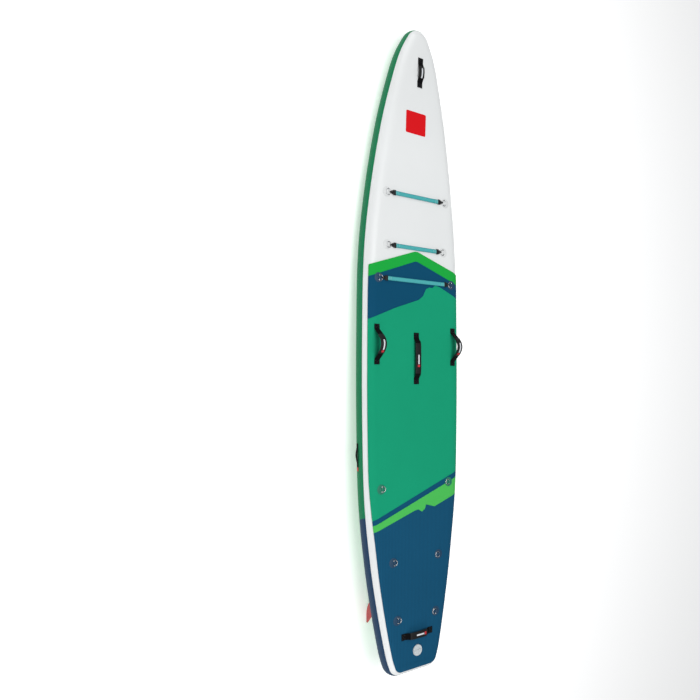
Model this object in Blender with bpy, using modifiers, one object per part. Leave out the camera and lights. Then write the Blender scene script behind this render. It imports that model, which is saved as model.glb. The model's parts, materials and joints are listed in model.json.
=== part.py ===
"""An inflatable touring paddleboard, resting on its two fins and the ridge of its bow.

Board axes: +X to the nose, +Y to port, +Z out of the deck; z = 0 is the flat of the deck amidships and
x = 0 is halfway along the board. Every part is a child of one empty, which tips the board into its rest.
"""

import math

import bmesh
import bpy
from mathutils import Matrix, Vector

# ---- Driving dimensions, in metres ----
BOARD_LENGTH = 4.013
BOARD_WIDTH = 0.762
BOARD_THICKNESS = 0.150
NOSE_THINNING = 0.020
NOSE_THINNING_LENGTH = 1.0
NOSE_LIFT = 0.060
NOSE_LIFT_LENGTH = 1.80
TAIL_LIFT = 0.012
TAIL_LIFT_LENGTH = 1.20
NOSE_RADIUS = BOARD_THICKNESS / 2 + 0.020
TAIL_CORNER_RADIUS = BOARD_THICKNESS / 2 + 0.010
TAIL_FLAT = BOARD_WIDTH * 0.230 / 0.762
SKIN = 0.0012
GAP = 0.0003

VEE_DEPTH = 0.028
VEE_AFT_FROM_NOSE = 1.36
VEE_FORE_FROM_NOSE = (BOARD_THICKNESS - NOSE_THINNING) / 2 + 0.005

PAD_THICKNESS = 0.005
PAD_ANGLES = (0.0, 13.0, 27.0, 40.0)
PAD_TAIL_SHARE = 0.75
PAD_NARROWS_OVER = (0.86, 1.24)
DECK_ANGLES = (*PAD_ANGLES, 55.0, 70.0)
BOTTOM_EDGE_ANGLE = 130.0
SEAM_ANGLE = 0.25

CORE_CELLS = 5
CORE_WALL = 0.0012
CORE_CLEARANCE = 0.0012
CORE_LEAST_HALF_WIDTH = 0.045
CORE_LEAST_STEP = 0.010

RING_WIRE = 0.0045
RING_WIDTH = 0.040
RING_DEPTH = 0.031
RING_CORNER = 0.007
RING_BORE_CLEARANCE = 0.0006
PATCH_RADIUS = 0.030
PATCH_THICKNESS = 0.0012
LOOP_WIDTH = 0.022
LOOP_WALL = 0.0026
RING_HEIGHT = 0.0056

STRAP_WIDTH = 0.025
STRAP_THICKNESS = 0.002
HOOK_WIDTH = 0.010
HOOK_WALL = 0.0026
HOOK_CLEARANCE = 0.0013
HOOK_LENGTH = 0.024

SIDE_HANDLE_LENGTH = 0.243
SIDE_HANDLE_HEIGHT = 0.074
SIDE_HANDLE_WIDTH = 0.038
SIDE_HANDLE_GRIP = 0.012
SIDE_HANDLE_X = 0.042
SIDE_HANDLE_INSET = 0.004
WEBBING = 0.003
FOOT_WIDTH = 0.008
FOOT_RISE = 0.0065
FOOT_CLEARANCE = 0.002
TAB_LENGTH = 0.034
CENTRE_HANDLE_LENGTH = 0.321
CENTRE_HANDLE_WIDTH = 0.040
CENTRE_HANDLE_HEIGHT = 0.026
CENTRE_HANDLE_X = -0.038
NOSE_HANDLE_LENGTH = 0.180
NOSE_HANDLE_WIDTH = 0.038
NOSE_HANDLE_HEIGHT = 0.022
NOSE_HANDLE_FROM_NOSE = 0.274
TAIL_HANDLE_LENGTH = 0.245
TAIL_HANDLE_WIDTH = 0.040
TAIL_HANDLE_HEIGHT = 0.026
TAIL_HANDLE_FROM_TAIL = 0.252

VALVE_FROM_TAIL = 0.150
VALVE_BARREL_RADIUS = 0.024
VALVE_BORE_RADIUS = 0.020
VALVE_DEPTH = 0.042
VALVE_FLANGE_RADIUS = 0.031
VALVE_FLANGE = 0.003
VALVE_SEAT_RADIUS = 0.009
PLUNGER_STEM_RADIUS = 0.005
PLUNGER_DISC_RADIUS = 0.014
CAP_RADIUS = 0.035
CAP_TOP = 0.004
CAP_GRIP_HEIGHT = 0.005

FIN_FROM_TAIL = 0.572
FIN_OFFSET = 0.165
FIN_DEPTH = 0.160
FIN_ROOT = 0.165
FIN_RAKE = 0.135
FIN_ROOT_THICKNESS = 0.011
FIN_TIP_THICKNESS = 0.004
FIN_BASE_LENGTH = 0.215
FIN_BASE_WIDTH = 0.050
FIN_BASE_THICKNESS = 0.003
FIN_SOCKET_HEIGHT = 0.008
FIN_SOCKET_WALL = 0.005

RAIL_STRAP_X = -0.626
RAIL_STRAP_LENGTH = 0.144
RAIL_STRAP_WIDTH = 0.020
RAIL_STRAP_BULGE = 0.007
RAIL_STRAP_ANGLE = 100.0

# Where the loose rings and the cargo strap rings sit: name, x, distance inboard of the flat's edge.
STRAP_RINGS = (("front", 0.966, 0.024, False), ("middle", 0.648, 0.067, False), ("rear", 0.443, 0.012, True))
LOOSE_RINGS = (("mid", 1.175, 0.027), ("aft", 0.719, 0.070), ("tail", 0.362, 0.039))

HALF_LENGTH = BOARD_LENGTH / 2
HALF_WIDTH = BOARD_WIDTH / 2
PAD_TOP = GAP + PAD_THICKNESS
LAYOUT_STRETCH = BOARD_LENGTH / 4.013

# The run of the outline between the tail's corner and the nose's arc, as shares of the half sizes.
BODY_OUTLINE = (
    (-0.922, 0.592),
    (-0.797, 0.724),
    (-0.648, 0.850),
    (-0.449, 0.961),
    (-0.199, 0.996),
    (0.050, 0.996),
    (0.299, 0.968),
    (0.498, 0.858),
    (0.698, 0.682),
    (0.847, 0.491),
    (0.922, 0.365),
)
BODY_STEPS = 2
NOSE_ARC_END = 60.0
TAIL_ARC_END = 73.0
ARC_STEPS = 4

# The pads' joints run across the deck from port to starboard, as points (x, y).
CHEVRON_FRONT = ((0.500, 0.400), (0.628, 0.012), (0.628, -0.012), (0.500, -0.400))
CHEVRON_BACK = ((0.429, 0.400), (0.566, 0.010), (0.566, -0.010), (0.429, -0.400))
RIDGE_LINE = (
    (0.172, 0.400),
    (0.270, 0.158),
    (0.330, -0.022),
    (0.357, -0.056),
    (0.403, -0.080),
    (0.415, -0.108),
    (0.414, -0.134),
    (0.434, -0.155),
    (0.420, -0.204),
    (0.338, -0.400),
)
STRIPE_FRONT = ((-1.047, 0.400), (-0.744, -0.400))
STRIPE_BACK = ((-1.078, 0.400), (-0.782, -0.400))
BAND_BACK = (
    (-1.117, 0.400),
    (-0.988, 0.010),
    (-0.984, -0.018),
    (-1.001, -0.047),
    (-0.987, -0.070),
    (-0.959, -0.080),
    (-0.979, -0.150),
    (-0.963, -0.196),
    (-0.891, -0.400),
)

WHITE_PVC = (0.80, 0.81, 0.81)
GREEN_PVC = (0.02, 0.33, 0.13)
LIME_EVA = (0.03, 0.42, 0.07)
NAVY_EVA = (0.008, 0.075, 0.14)
TEAL_EVA = (0.012, 0.31, 0.18)
LEAF_EVA = (0.08, 0.47, 0.11)
BLUE_EVA = (0.012, 0.085, 0.16)
BLACK = (0.012, 0.012, 0.014)
TURQUOISE = (0.06, 0.38, 0.38)
STEEL = (0.62, 0.62, 0.62)
PALE_GREY = (0.60, 0.62, 0.62)
FIN_RED = (0.45, 0.02, 0.015)
THREAD = (0.75, 0.73, 0.68)

for leftover in list(bpy.data.objects):
    bpy.data.objects.remove(leftover)

PARTS = bpy.data.collections.new("touring_paddleboard")
CUTTERS = bpy.data.collections.new("cutters")
bpy.context.scene.collection.children.link(PARTS)
bpy.context.scene.collection.children.link(CUTTERS)
CUTTERS.hide_render = True

BOARD = bpy.data.objects.new("board_at_rest", None)
PARTS.objects.link(BOARD)


# ---- The board's form ----


def lift(x):
    """How far the deck is raised at x, above its flat amidships."""
    nose = max(0.0, x - (HALF_LENGTH - NOSE_LIFT_LENGTH)) / NOSE_LIFT_LENGTH
    tail = max(0.0, TAIL_LIFT_LENGTH - HALF_LENGTH - x) / TAIL_LIFT_LENGTH
    return NOSE_LIFT * nose**2 + TAIL_LIFT * tail**2


def rail_radius(x):
    """Half the board's thickness, which falls a little over the nose."""
    share = max(0.0, x - (HALF_LENGTH - NOSE_THINNING_LENGTH)) / NOSE_THINNING_LENGTH
    return (BOARD_THICKNESS - NOSE_THINNING * share**2) / 2


def vee(x):
    """How far the bottom's centre line stands below its edges."""
    aft = HALF_LENGTH - VEE_AFT_FROM_NOSE
    share = (x - aft) / (VEE_AFT_FROM_NOSE - VEE_FORE_FROM_NOSE)
    return VEE_DEPTH * math.sin(math.pi * share) ** 2 if 0 < share < 1 else 0.0


def pad_reach(x):
    """How far down the rail the pads reach at x, as a share of their reach amidships."""
    start, end = PAD_NARROWS_OVER
    share = min(1.0, max(0.0, (end - HALF_LENGTH - x) / (end - start)))
    return 1.0 - (1.0 - PAD_TAIL_SHARE) * share


def arc(centre, radius, start, end):
    """[(point, inward normal)] round an arc, angles in degrees from +X."""
    angles = [math.radians(start + (end - start) * i / ARC_STEPS) for i in range(ARC_STEPS + 1)]
    outward = [Vector((math.cos(t), math.sin(t))) for t in angles]
    return [(Vector(centre) + radius * out, -out) for out in outward]


def through(points, before, after, steps):
    """A Catmull-Rom curve through points, leaving out the first and the last of them."""
    run = [before, *points, after]
    curve = []
    for i in range(1, len(run) - 2):
        for step in range(steps):
            t = step / steps
            a, b, c, d = run[i - 1 : i + 3]
            curve.append(0.5 * (2 * b + (c - a) * t + (2 * a - 5 * b + 4 * c - d) * t**2
                                + (3 * b - a - 3 * c + d) * t**3))
    return curve[1:]


def half_outline():
    """[(point, inward normal)] from the middle of the tail, up the port side, to the tip of the nose."""
    tail = arc((TAIL_CORNER_RADIUS - HALF_LENGTH, TAIL_FLAT / 2), TAIL_CORNER_RADIUS, 180, 180 - TAIL_ARC_END)
    nose = arc((HALF_LENGTH - NOSE_RADIUS, 0), NOSE_RADIUS, NOSE_ARC_END, 0)
    body = [Vector((x * HALF_LENGTH, y * HALF_WIDTH)) for x, y in BODY_OUTLINE]
    run = through([tail[-1][0], *body, nose[0][0]], tail[-2][0], nose[1][0], BODY_STEPS)
    ends = [tail[-1][0], *run, nose[0][0]]
    sides = []
    for before, point, after in zip(ends, run, ends[2:]):
        along = (after - before).normalized()
        sides.append((point, Vector((along.y, -along.x))))
    return [(Vector((-HALF_LENGTH, 0)), Vector((1, 0))), *tail, *sides, *nose]


OUTLINE = half_outline()


def station_at(x):
    """The outline's point and inward normal at x, on the port side between the end arcs."""
    for (a, n), (b, m) in zip(OUTLINE, OUTLINE[1:]):
        if a.x <= x <= b.x and b.x > a.x:
            share = (x - a.x) / (b.x - a.x)
            return a.lerp(b, share), n.lerp(m, share).normalized()
    return OUTLINE[-1]


def hull_point(station, angle, out=0.0):
    """A point of the skin's outer face, angle degrees round the rail from the deck, moved outwards by out."""
    point, normal = station
    radius = rail_radius(point.x)
    turn = math.radians(angle)
    flat = point + normal * (radius - (radius + out) * math.sin(turn))
    return Vector((flat.x, flat.y, lift(flat.x) - radius + (radius + out) * math.cos(turn)))


def deck_centre(station, out):
    """The point of the deck on the centre line, across from where this station's rail begins."""
    return hull_point(station, 0, out) * Vector((1, 0, 1))


def keel_point(station, out):
    """The point of the bottom on the centre line, across from where this station's rail ends."""
    edge = hull_point(station, 180, out)
    return Vector((edge.x, 0, edge.z - vee(edge.x)))


def flat_half_width(x):
    """Half the width of the deck's flat part at x."""
    edges = [hull_point(station, 0) for station in OUTLINE]
    for a, b in zip(edges, edges[1:]):
        if a.x <= x <= b.x and b.x > a.x:
            return a.y + (b.y - a.y) * (x - a.x) / (b.x - a.x)
    return edges[-1].y


def on_deck(x, y, out=0.0):
    """A frame on the deck: its Z out of the deck, its X towards the nose."""
    step = 0.01
    slope = (lift(x + step) - lift(x - step)) / (2 * step)
    return Matrix.Translation((x, y, lift(x))) @ Matrix.Rotation(-math.atan(slope), 4, "Y") @ Matrix.Translation(
        (0, 0, out)
    )


def on_bottom(x, y):
    """A frame on the flat bottom: its Z out of the board, its X towards the nose."""
    return on_deck(x, y, -BOARD_THICKNESS) @ Matrix.Diagonal((1, -1, -1, 1))


# ---- Making objects ----


def material(name, colour, roughness, metallic=0.0):
    made = bpy.data.materials.get(name)
    if made is None:
        made = bpy.data.materials.new(name)
        made.use_nodes = True
        shader = made.node_tree.nodes["Principled BSDF"]
        shader.inputs["Base Color"].default_value = (*colour, 1)
        shader.inputs["Roughness"].default_value = roughness
        shader.inputs["Metallic"].default_value = metallic
    return made


def add_part(name, mesh, colour, roughness=0.5, metallic=0.0, place=None):
    """Adds a node, placed in the board's axes."""
    part = bpy.data.objects.new(name, mesh)
    PARTS.objects.link(part)
    part.parent = BOARD
    if place is not None:
        part.matrix_local = place
    part.color = (*colour, 1)
    look = material("mat_" + name, colour, roughness, metallic)
    if mesh.materials:
        part.material_slots[0].link = "OBJECT"
        part.material_slots[0].material = look
    else:
        mesh.materials.append(None)
        part.material_slots[0].link = "OBJECT"
        part.material_slots[0].material = look
    return part


def add_cutter(name, mesh, place=None):
    cutter = bpy.data.objects.new(name, mesh)
    CUTTERS.objects.link(cutter)
    cutter.parent = BOARD
    if place is not None:
        cutter.matrix_local = place
    cutter.hide_render = True
    cutter.display_type = "WIRE"
    return cutter


def boolean(part, other, operation):
    change = part.modifiers.new(operation.lower(), "BOOLEAN")
    change.operation = operation
    change.object = other
    change.solver = "EXACT"
    return change


def mesh_of(shape, name):
    """The mesh of a bmesh, its doubles welded."""
    bmesh.ops.remove_doubles(shape, verts=shape.verts, dist=1e-6)
    mesh = bpy.data.meshes.new(name)
    shape.to_mesh(mesh)
    shape.free()
    return mesh


def loft(name, rows, closed_rows=False, caps=False, flip=False, twisted=False):
    """Skins rows of points, each row as long as the next. A cap fills the first and the last closed row.

    A twisted sheet's rows run out along one face and back along the other. Its faces are split on the same
    diagonal on both, so that a thin one doesn't pass through itself.
    """
    shape = bmesh.new()
    grid = [[shape.verts.new(point) for point in row] for row in rows]
    count = len(rows[0])
    for a, b in zip(grid, grid[1:]):
        for j in range(count if closed_rows else count - 1):
            k = (j + 1) % count
            if not twisted:
                shape.faces.new((a[j], a[k], b[k], b[j]))
            elif j < count // 2:
                shape.faces.new((a[j], a[k], b[k]))
                shape.faces.new((a[j], b[k], b[j]))
            else:
                shape.faces.new((a[j], a[k], b[j]))
                shape.faces.new((a[k], b[k], b[j]))
    if caps:
        # Each closed row runs out along one side of a strip and back along the other.
        for row in (grid[0], grid[-1]):
            for j in range(count // 2 - 1):
                face = (row[j], row[j + 1], row[count - 2 - j], row[count - 1 - j])
                shape.faces.new(face)
    bmesh.ops.remove_doubles(shape, verts=shape.verts, dist=1e-6)
    if closed_rows:
        bmesh.ops.recalc_face_normals(shape, faces=shape.faces)
    if flip:
        bmesh.ops.reverse_faces(shape, faces=shape.faces)
    return mesh_of(shape, name)


def evaluated_mesh(part, name):
    """The mesh that an object's modifiers make, or a curve's own, with its caps welded."""
    bpy.context.view_layer.update()
    graph = bpy.context.evaluated_depsgraph_get()
    mesh = bpy.data.meshes.new_from_object(part.evaluated_get(graph))
    mesh.name = name
    shape = bmesh.new()
    shape.from_mesh(mesh)
    bmesh.ops.remove_doubles(shape, verts=shape.verts, dist=1e-6)
    shape.to_mesh(mesh)
    shape.free()
    mesh.materials.clear()
    return mesh


def smooth(mesh, angle=35):
    mesh.shade_smooth()
    mesh.set_sharp_from_angle(angle=math.radians(angle))
    return mesh


def prism(name, outline, low, high):
    """A flat outline of (x, y) points, raised from low to high."""
    shape = bmesh.new()
    face = shape.faces.new([shape.verts.new((x, y, low)) for x, y in outline])
    raised = bmesh.ops.extrude_face_region(shape, geom=[face])
    top = [v for v in raised["geom"] if isinstance(v, bmesh.types.BMVert)]
    bmesh.ops.translate(shape, verts=top, vec=(0, 0, high - low))
    bmesh.ops.recalc_face_normals(shape, faces=shape.faces)
    return mesh_of(shape, name)


def turned(name, profile, colour, place, roughness=0.5, steps=32):
    """A profile of (radius, z) points, closed and running down its outer side, turned about Z."""
    mesh = bpy.data.meshes.new(name)
    corners = [(radius, 0, z) for radius, z in profile]
    on_axis = [i for i, corner in enumerate(profile) if corner[0] == 0]
    edges = [(i, (i + 1) % len(corners)) for i in range(len(corners))]
    edges = [edge for edge in edges if not (edge[0] in on_axis and edge[1] in on_axis)]
    mesh.from_pydata(corners, edges, [])
    part = add_part(name, mesh, colour, roughness, 0.0, place)
    screw = part.modifiers.new("turn", "SCREW")
    screw.steps = steps
    screw.render_steps = steps
    screw.use_merge_vertices = True
    screw.merge_threshold = 0.0001
    return part


# ---- Skins and rails ----


def spread(start, end, pieces):
    return [start + (end - start) * i / pieces for i in range(pieces + 1)]


def mirrored(part):
    mirror = part.modifiers.new("port_and_starboard", "MIRROR")
    mirror.use_axis = (False, True, False)
    mirror.merge_threshold = 0.00005
    return part


def deck_sheet(name, angles, low, high, colour, roughness):
    """A sheet over the deck and down the rail through the angles, between two heights off the skin's face."""
    rows = []
    for station in OUTLINE:
        reach = pad_reach(station[0].x)
        turns = [angle * reach if angle <= PAD_ANGLES[-1] else angle for angle in angles]
        top = [deck_centre(station, high)] + [hull_point(station, turn, high) for turn in turns]
        under = [deck_centre(station, low)] + [hull_point(station, turn, low) for turn in turns]
        rows.append(top + under[::-1])
    return mirrored(add_part(name, loft(name, rows, flip=True), colour, roughness))


def bottom_sheet(name):
    rows = []
    for station in OUTLINE:
        angles = spread(180, BOTTOM_EDGE_ANGLE, 3)
        outer = [keel_point(station, 0)] + [hull_point(station, angle) for angle in angles]
        inner = [keel_point(station, -SKIN)] + [hull_point(station, angle, -SKIN) for angle in angles]
        rows.append(outer + inner[::-1])
    return mirrored(add_part(name, loft(name, rows, twisted=True), GREEN_PVC, 0.35))


def rail(name, side):
    """The side wall between the deck's edge and the bottom's, down one side from nose to tail."""
    angles = spread(DECK_ANGLES[-1] + SEAM_ANGLE, BOTTOM_EDGE_ANGLE - SEAM_ANGLE, 4)
    rows = []
    for station in OUTLINE:
        section = [hull_point(station, angle) for angle in angles]
        section += [hull_point(station, angle, -SKIN) for angle in reversed(angles)]
        rows.append([Vector((p.x, side * max(p.y, GAP / 2), p.z)) for p in section])
    return add_part(name, loft(name, rows, closed_rows=True, caps=True), GREEN_PVC, 0.4)


deck_skin = deck_sheet("deck_skin", DECK_ANGLES, -SKIN, 0.0, WHITE_PVC, 0.4)
bottom_skin = bottom_sheet("bottom_skin")
rail("rail_port", 1)
rail("rail_starboard", -1)


# ---- The drop-stitch core: two cloths held apart by walls of thread ----


def lattice(name, stations, solid):
    """A block of cells along the board. stations holds a grid of points each, solid says which cells are full."""
    shape = bmesh.new()
    grids = [[[shape.verts.new(p) for p in column] for column in grid] for grid in stations]
    across = len(stations[0]) - 1
    up = len(stations[0][0]) - 1

    def full(i, j):
        return 0 <= i < across and 0 <= j < up and solid(i, j)

    for i in range(across):
        for j in range(up):
            if not full(i, j):
                continue
            for g in (grids[0], grids[-1]):
                shape.faces.new((g[i][j], g[i + 1][j], g[i + 1][j + 1], g[i][j + 1]))
            corners = ((i, j, i + 1, j, i, j - 1), (i + 1, j, i + 1, j + 1, i + 1, j),
                       (i + 1, j + 1, i, j + 1, i, j + 1), (i, j + 1, i, j, i - 1, j))
            for a, b, c, d, beside_i, beside_j in corners:
                if full(beside_i, beside_j):
                    continue
                for g, h in zip(grids, grids[1:]):
                    shape.faces.new((g[a][b], g[c][d], h[c][d], h[a][b]))
    bmesh.ops.recalc_face_normals(shape, faces=shape.faces)
    mesh = bpy.data.meshes.new(name)
    shape.to_mesh(mesh)
    shape.free()
    return mesh


def core_stations():
    """Grids of (across, up) points at each place along the core."""
    inset = SKIN + CORE_CLEARANCE
    edges = [(hull_point(station, 0, -inset), hull_point(station, 180, -inset).z) for station in OUTLINE]
    edges = [(edge, base) for edge, base in edges if edge.y > CORE_LEAST_HALF_WIDTH]
    edges = [edges[0]] + [pair for pair in edges if pair[0].x > edges[0][0].x + CORE_LEAST_STEP]
    stations = []
    for edge, base in edges[::2] if len(edges) % 2 else [*edges[::2], edges[-1]]:
        top = edge.z
        half = edge.y - 2 * SKIN
        sides = []
        for wall in range(CORE_CELLS + 1):
            middle = -half + CORE_WALL / 2 + wall * (2 * half - CORE_WALL) / CORE_CELLS
            sides += [middle - CORE_WALL / 2, middle + CORE_WALL / 2]
        levels = (base, base + CORE_WALL, top - CORE_WALL, top)
        stations.append([[Vector((edge.x, y, z)) for z in levels] for y in sides])
    return stations


core_mesh = lattice("drop_stitch_core", core_stations(), lambda i, j: i % 2 == 0 or j != 1)
core = add_part("drop_stitch_core", core_mesh, THREAD, 0.9)


# ---- Foam deck pads: one sheet, cut along the joints between its colours ----

pad_sheet = deck_sheet("pad_sheet", PAD_ANGLES, GAP, PAD_TOP, TEAL_EVA, 0.8)
pad_mesh = evaluated_mesh(pad_sheet, "pad_sheet")
bpy.data.objects.remove(pad_sheet)


def zone(name, front, back):
    """A block over the deck between two joint lines. None is the nose or the tail end of the board."""
    lead = front or ((HALF_LENGTH + 1, 0.4), (HALF_LENGTH + 1, -0.4))
    follow = back or ((-HALF_LENGTH - 1, 0.4), (-HALF_LENGTH - 1, -0.4))
    reach = HALF_WIDTH / 0.381
    outline = [(x * LAYOUT_STRETCH - GAP, y * reach) for x, y in lead]
    outline += [(x * LAYOUT_STRETCH + GAP, y * reach) for x, y in reversed(follow)]
    return add_cutter("zone_" + name, prism("zone_" + name, outline, -0.2, 0.3))


PADS = (
    ("pad_chevron", CHEVRON_FRONT, CHEVRON_BACK, LIME_EVA),
    ("pad_front", CHEVRON_BACK, RIDGE_LINE, NAVY_EVA),
    ("pad_main", RIDGE_LINE, STRIPE_FRONT, TEAL_EVA),
    ("pad_stripe", STRIPE_FRONT, STRIPE_BACK, NAVY_EVA),
    ("pad_band", STRIPE_BACK, BAND_BACK, LEAF_EVA),
    ("pad_tail", BAND_BACK, None, BLUE_EVA),
)
pads = {}
for pad_name, pad_front, pad_back, pad_colour in PADS:
    pads[pad_name] = add_part(pad_name, pad_mesh.copy(), pad_colour, 0.8)
    boolean(pads[pad_name], zone(pad_name, pad_front, pad_back), "INTERSECT")


# ---- The valve: body, plunger and cap ----

VALVE_X = VALVE_FROM_TAIL - HALF_LENGTH
VALVE = on_deck(VALVE_X, 0, PAD_TOP + GAP)


def cylinder_cutter(name, radius, low, high, place):
    shape = bmesh.new()
    bmesh.ops.create_cone(shape, cap_ends=True, segments=32, radius1=radius, radius2=radius, depth=high - low)
    bmesh.ops.translate(shape, verts=shape.verts, vec=(0, 0, (low + high) / 2))
    return add_cutter(name, mesh_of(shape, name), place)


valve_hole = cylinder_cutter("valve_hole", VALVE_BARREL_RADIUS + GAP, -2 * VALVE_DEPTH, 0.02, VALVE)
for drilled in (deck_skin, pads["pad_tail"], core):
    boolean(drilled, valve_hole, "DIFFERENCE")

SEAT_Z = -VALVE_DEPTH
valve_profile = (
    (VALVE_BORE_RADIUS, VALVE_FLANGE),
    (VALVE_FLANGE_RADIUS, VALVE_FLANGE),
    (VALVE_FLANGE_RADIUS, 0),
    (VALVE_BARREL_RADIUS, 0),
    (VALVE_BARREL_RADIUS, SEAT_Z),
    (VALVE_SEAT_RADIUS, SEAT_Z),
    (VALVE_SEAT_RADIUS, SEAT_Z + 0.003),
    (VALVE_BORE_RADIUS, SEAT_Z + 0.003),
)
turned("valve_body", valve_profile, PALE_GREY, VALVE)

PLUNGER_TOP = -0.012
plunger_profile = (
    (0, PLUNGER_TOP),
    (0.009, PLUNGER_TOP),
    (0.009, PLUNGER_TOP - 0.003),
    (PLUNGER_STEM_RADIUS, PLUNGER_TOP - 0.003),
    (PLUNGER_STEM_RADIUS, SEAT_Z - GAP),
    (PLUNGER_DISC_RADIUS, SEAT_Z - GAP),
    (PLUNGER_DISC_RADIUS, SEAT_Z - GAP - 0.003),
    (0, SEAT_Z - GAP - 0.003),
)
turned("valve_plunger", plunger_profile, PALE_GREY, VALVE, steps=24)

CAP_UNDER = VALVE_FLANGE + GAP
cap_profile = (
    (0, CAP_UNDER + CAP_TOP),
    (CAP_RADIUS - 0.004, CAP_UNDER + CAP_TOP),
    (CAP_RADIUS, CAP_UNDER + CAP_TOP - 0.003),
    (CAP_RADIUS, GAP),
    (CAP_RADIUS - 0.003, GAP),
    (CAP_RADIUS - 0.003, CAP_UNDER),
    (VALVE_BORE_RADIUS - 0.0006, CAP_UNDER),
    (VALVE_BORE_RADIUS - 0.0006, -0.006),
    (VALVE_BORE_RADIUS - 0.0036, -0.006),
    (VALVE_BORE_RADIUS - 0.0036, CAP_UNDER - 0.001),
    (0, CAP_UNDER - 0.001),
)
valve_cap = turned("valve_cap", cap_profile, PALE_GREY, VALVE)
grip_shape = bmesh.new()
bmesh.ops.create_cube(grip_shape, size=1.0)
bmesh.ops.scale(grip_shape, vec=(0.009, 1.5 * CAP_RADIUS, CAP_GRIP_HEIGHT + 0.002), verts=grip_shape.verts)
grip_z = CAP_UNDER + CAP_TOP + (CAP_GRIP_HEIGHT - 0.002) / 2
bmesh.ops.translate(grip_shape, verts=grip_shape.verts, vec=(0, 0, grip_z))
cap_grip = add_cutter("cap_grip", mesh_of(grip_shape, "cap_grip"), VALVE)
boolean(valve_cap, cap_grip, "UNION")


# ---- D-rings and the patches that hold them ----


def ring_mesh():
    """A D of wire lying flat: its straight side on the X axis, its bow towards +Y."""
    half = (RING_WIDTH - RING_WIRE) / 2
    reach = RING_DEPTH - RING_WIRE
    path = [(-half + RING_CORNER, 0), (half - RING_CORNER, 0)]
    path += [(half - RING_CORNER * 0.3, RING_CORNER * 0.3), (half, RING_CORNER)]
    bow_steps = 8
    for i in range(1, bow_steps):
        turn = math.pi * i / bow_steps
        path.append((half * math.cos(turn), RING_CORNER + (reach - RING_CORNER) * math.sin(turn)))
    path += [(-half, RING_CORNER), (-half + RING_CORNER * 0.3, RING_CORNER * 0.3)]
    curve = bpy.data.curves.new("ring", "CURVE")
    curve.dimensions = "3D"
    spline = curve.splines.new("POLY")
    spline.points.add(len(path) - 1)
    for point, (x, y) in zip(spline.points, path):
        point.co = (x, y, 0, 1)
    spline.use_cyclic_u = True
    curve.bevel_depth = RING_WIRE / 2
    curve.bevel_resolution = 1
    bent = bpy.data.objects.new("ring", curve)
    CUTTERS.objects.link(bent)
    mesh = evaluated_mesh(bent, "d_ring")
    bpy.data.objects.remove(bent)
    return smooth(mesh, 60)


def anchor_mesh():
    """A round patch with a webbing loop over it, bored along X for a ring's straight side."""
    shape = bmesh.new()
    bmesh.ops.create_cone(
        shape, cap_ends=True, segments=24, radius1=PATCH_RADIUS, radius2=PATCH_RADIUS, depth=PATCH_THICKNESS
    )
    bmesh.ops.translate(shape, verts=shape.verts, vec=(0, 0, PATCH_THICKNESS / 2))
    patch = add_cutter("patch", mesh_of(shape, "patch"))
    bore = RING_WIRE / 2 + RING_BORE_CLEARANCE
    crown = bore + LOOP_WALL
    base = PATCH_THICKNESS / 2
    outline = [(crown, base - RING_HEIGHT), (crown * 1.0, 0)]
    outline += [(crown * math.cos(math.pi * i / 6), crown * math.sin(math.pi * i / 6)) for i in range(1, 6)]
    outline += [(-crown, 0), (-crown, base - RING_HEIGHT)]
    hump = add_cutter("hump", prism("hump", outline, -LOOP_WIDTH / 2, LOOP_WIDTH / 2))
    stand = Matrix.Translation((0, 0, RING_HEIGHT)) @ Matrix(((0, 0, 1, 0), (1, 0, 0, 0), (0, 1, 0, 0), (0, 0, 0, 1)))
    hump.matrix_local = stand
    hole_place = Matrix.Translation((0, 0, RING_HEIGHT)) @ Matrix.Rotation(math.pi / 2, 4, "Y")
    shape = bmesh.new()
    bmesh.ops.create_cone(shape, cap_ends=True, segments=12, radius1=bore, radius2=bore, depth=2 * LOOP_WIDTH)
    hole = add_cutter("bore", mesh_of(shape, "bore"), hole_place)
    boolean(patch, hump, "UNION")
    boolean(patch, hole, "DIFFERENCE")
    mesh = evaluated_mesh(patch, "ring_patch")
    for scrap in (patch, hump, hole):
        bpy.data.objects.remove(scrap)
    return smooth(mesh)


RING_MESH = ring_mesh()
ANCHOR_MESH = anchor_mesh()


def ring_seat(x, inset, side, on_pad):
    """The frame of a ring's patch: its Y points inboard."""
    y = flat_half_width(x) - inset
    base = on_deck(x, side * y, (PAD_TOP if on_pad else 0) + GAP)
    return base @ Matrix.Rotation(math.pi if side > 0 else 0, 4, "Z")


def add_ring(place_name, seat):
    add_part("ring_patch_" + place_name, ANCHOR_MESH.copy(), BLACK, 0.6, 0.0, seat)
    raised = seat @ Matrix.Translation((0, 0, RING_HEIGHT))
    add_part("d_ring_" + place_name, RING_MESH.copy(), STEEL, 0.25, 1.0, raised)


SIDES = (("port", 1), ("starboard", -1))
for ring_name, from_tail, ring_inset in LOOSE_RINGS:
    for side_name, side_sign in SIDES:
        seat_frame = ring_seat(from_tail * LAYOUT_STRETCH - HALF_LENGTH, ring_inset, side_sign, True)
        add_ring(f"{ring_name}_{side_name}", seat_frame)
for ring_name, ring_x, ring_inset, ring_on_pad in STRAP_RINGS:
    for side_name, side_sign in SIDES:
        seat_frame = ring_seat(ring_x * LAYOUT_STRETCH, ring_inset, side_sign, ring_on_pad)
        add_ring(f"{ring_name}_{side_name}", seat_frame)


# ---- Cargo straps, with a hook sewn to each end ----


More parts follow.
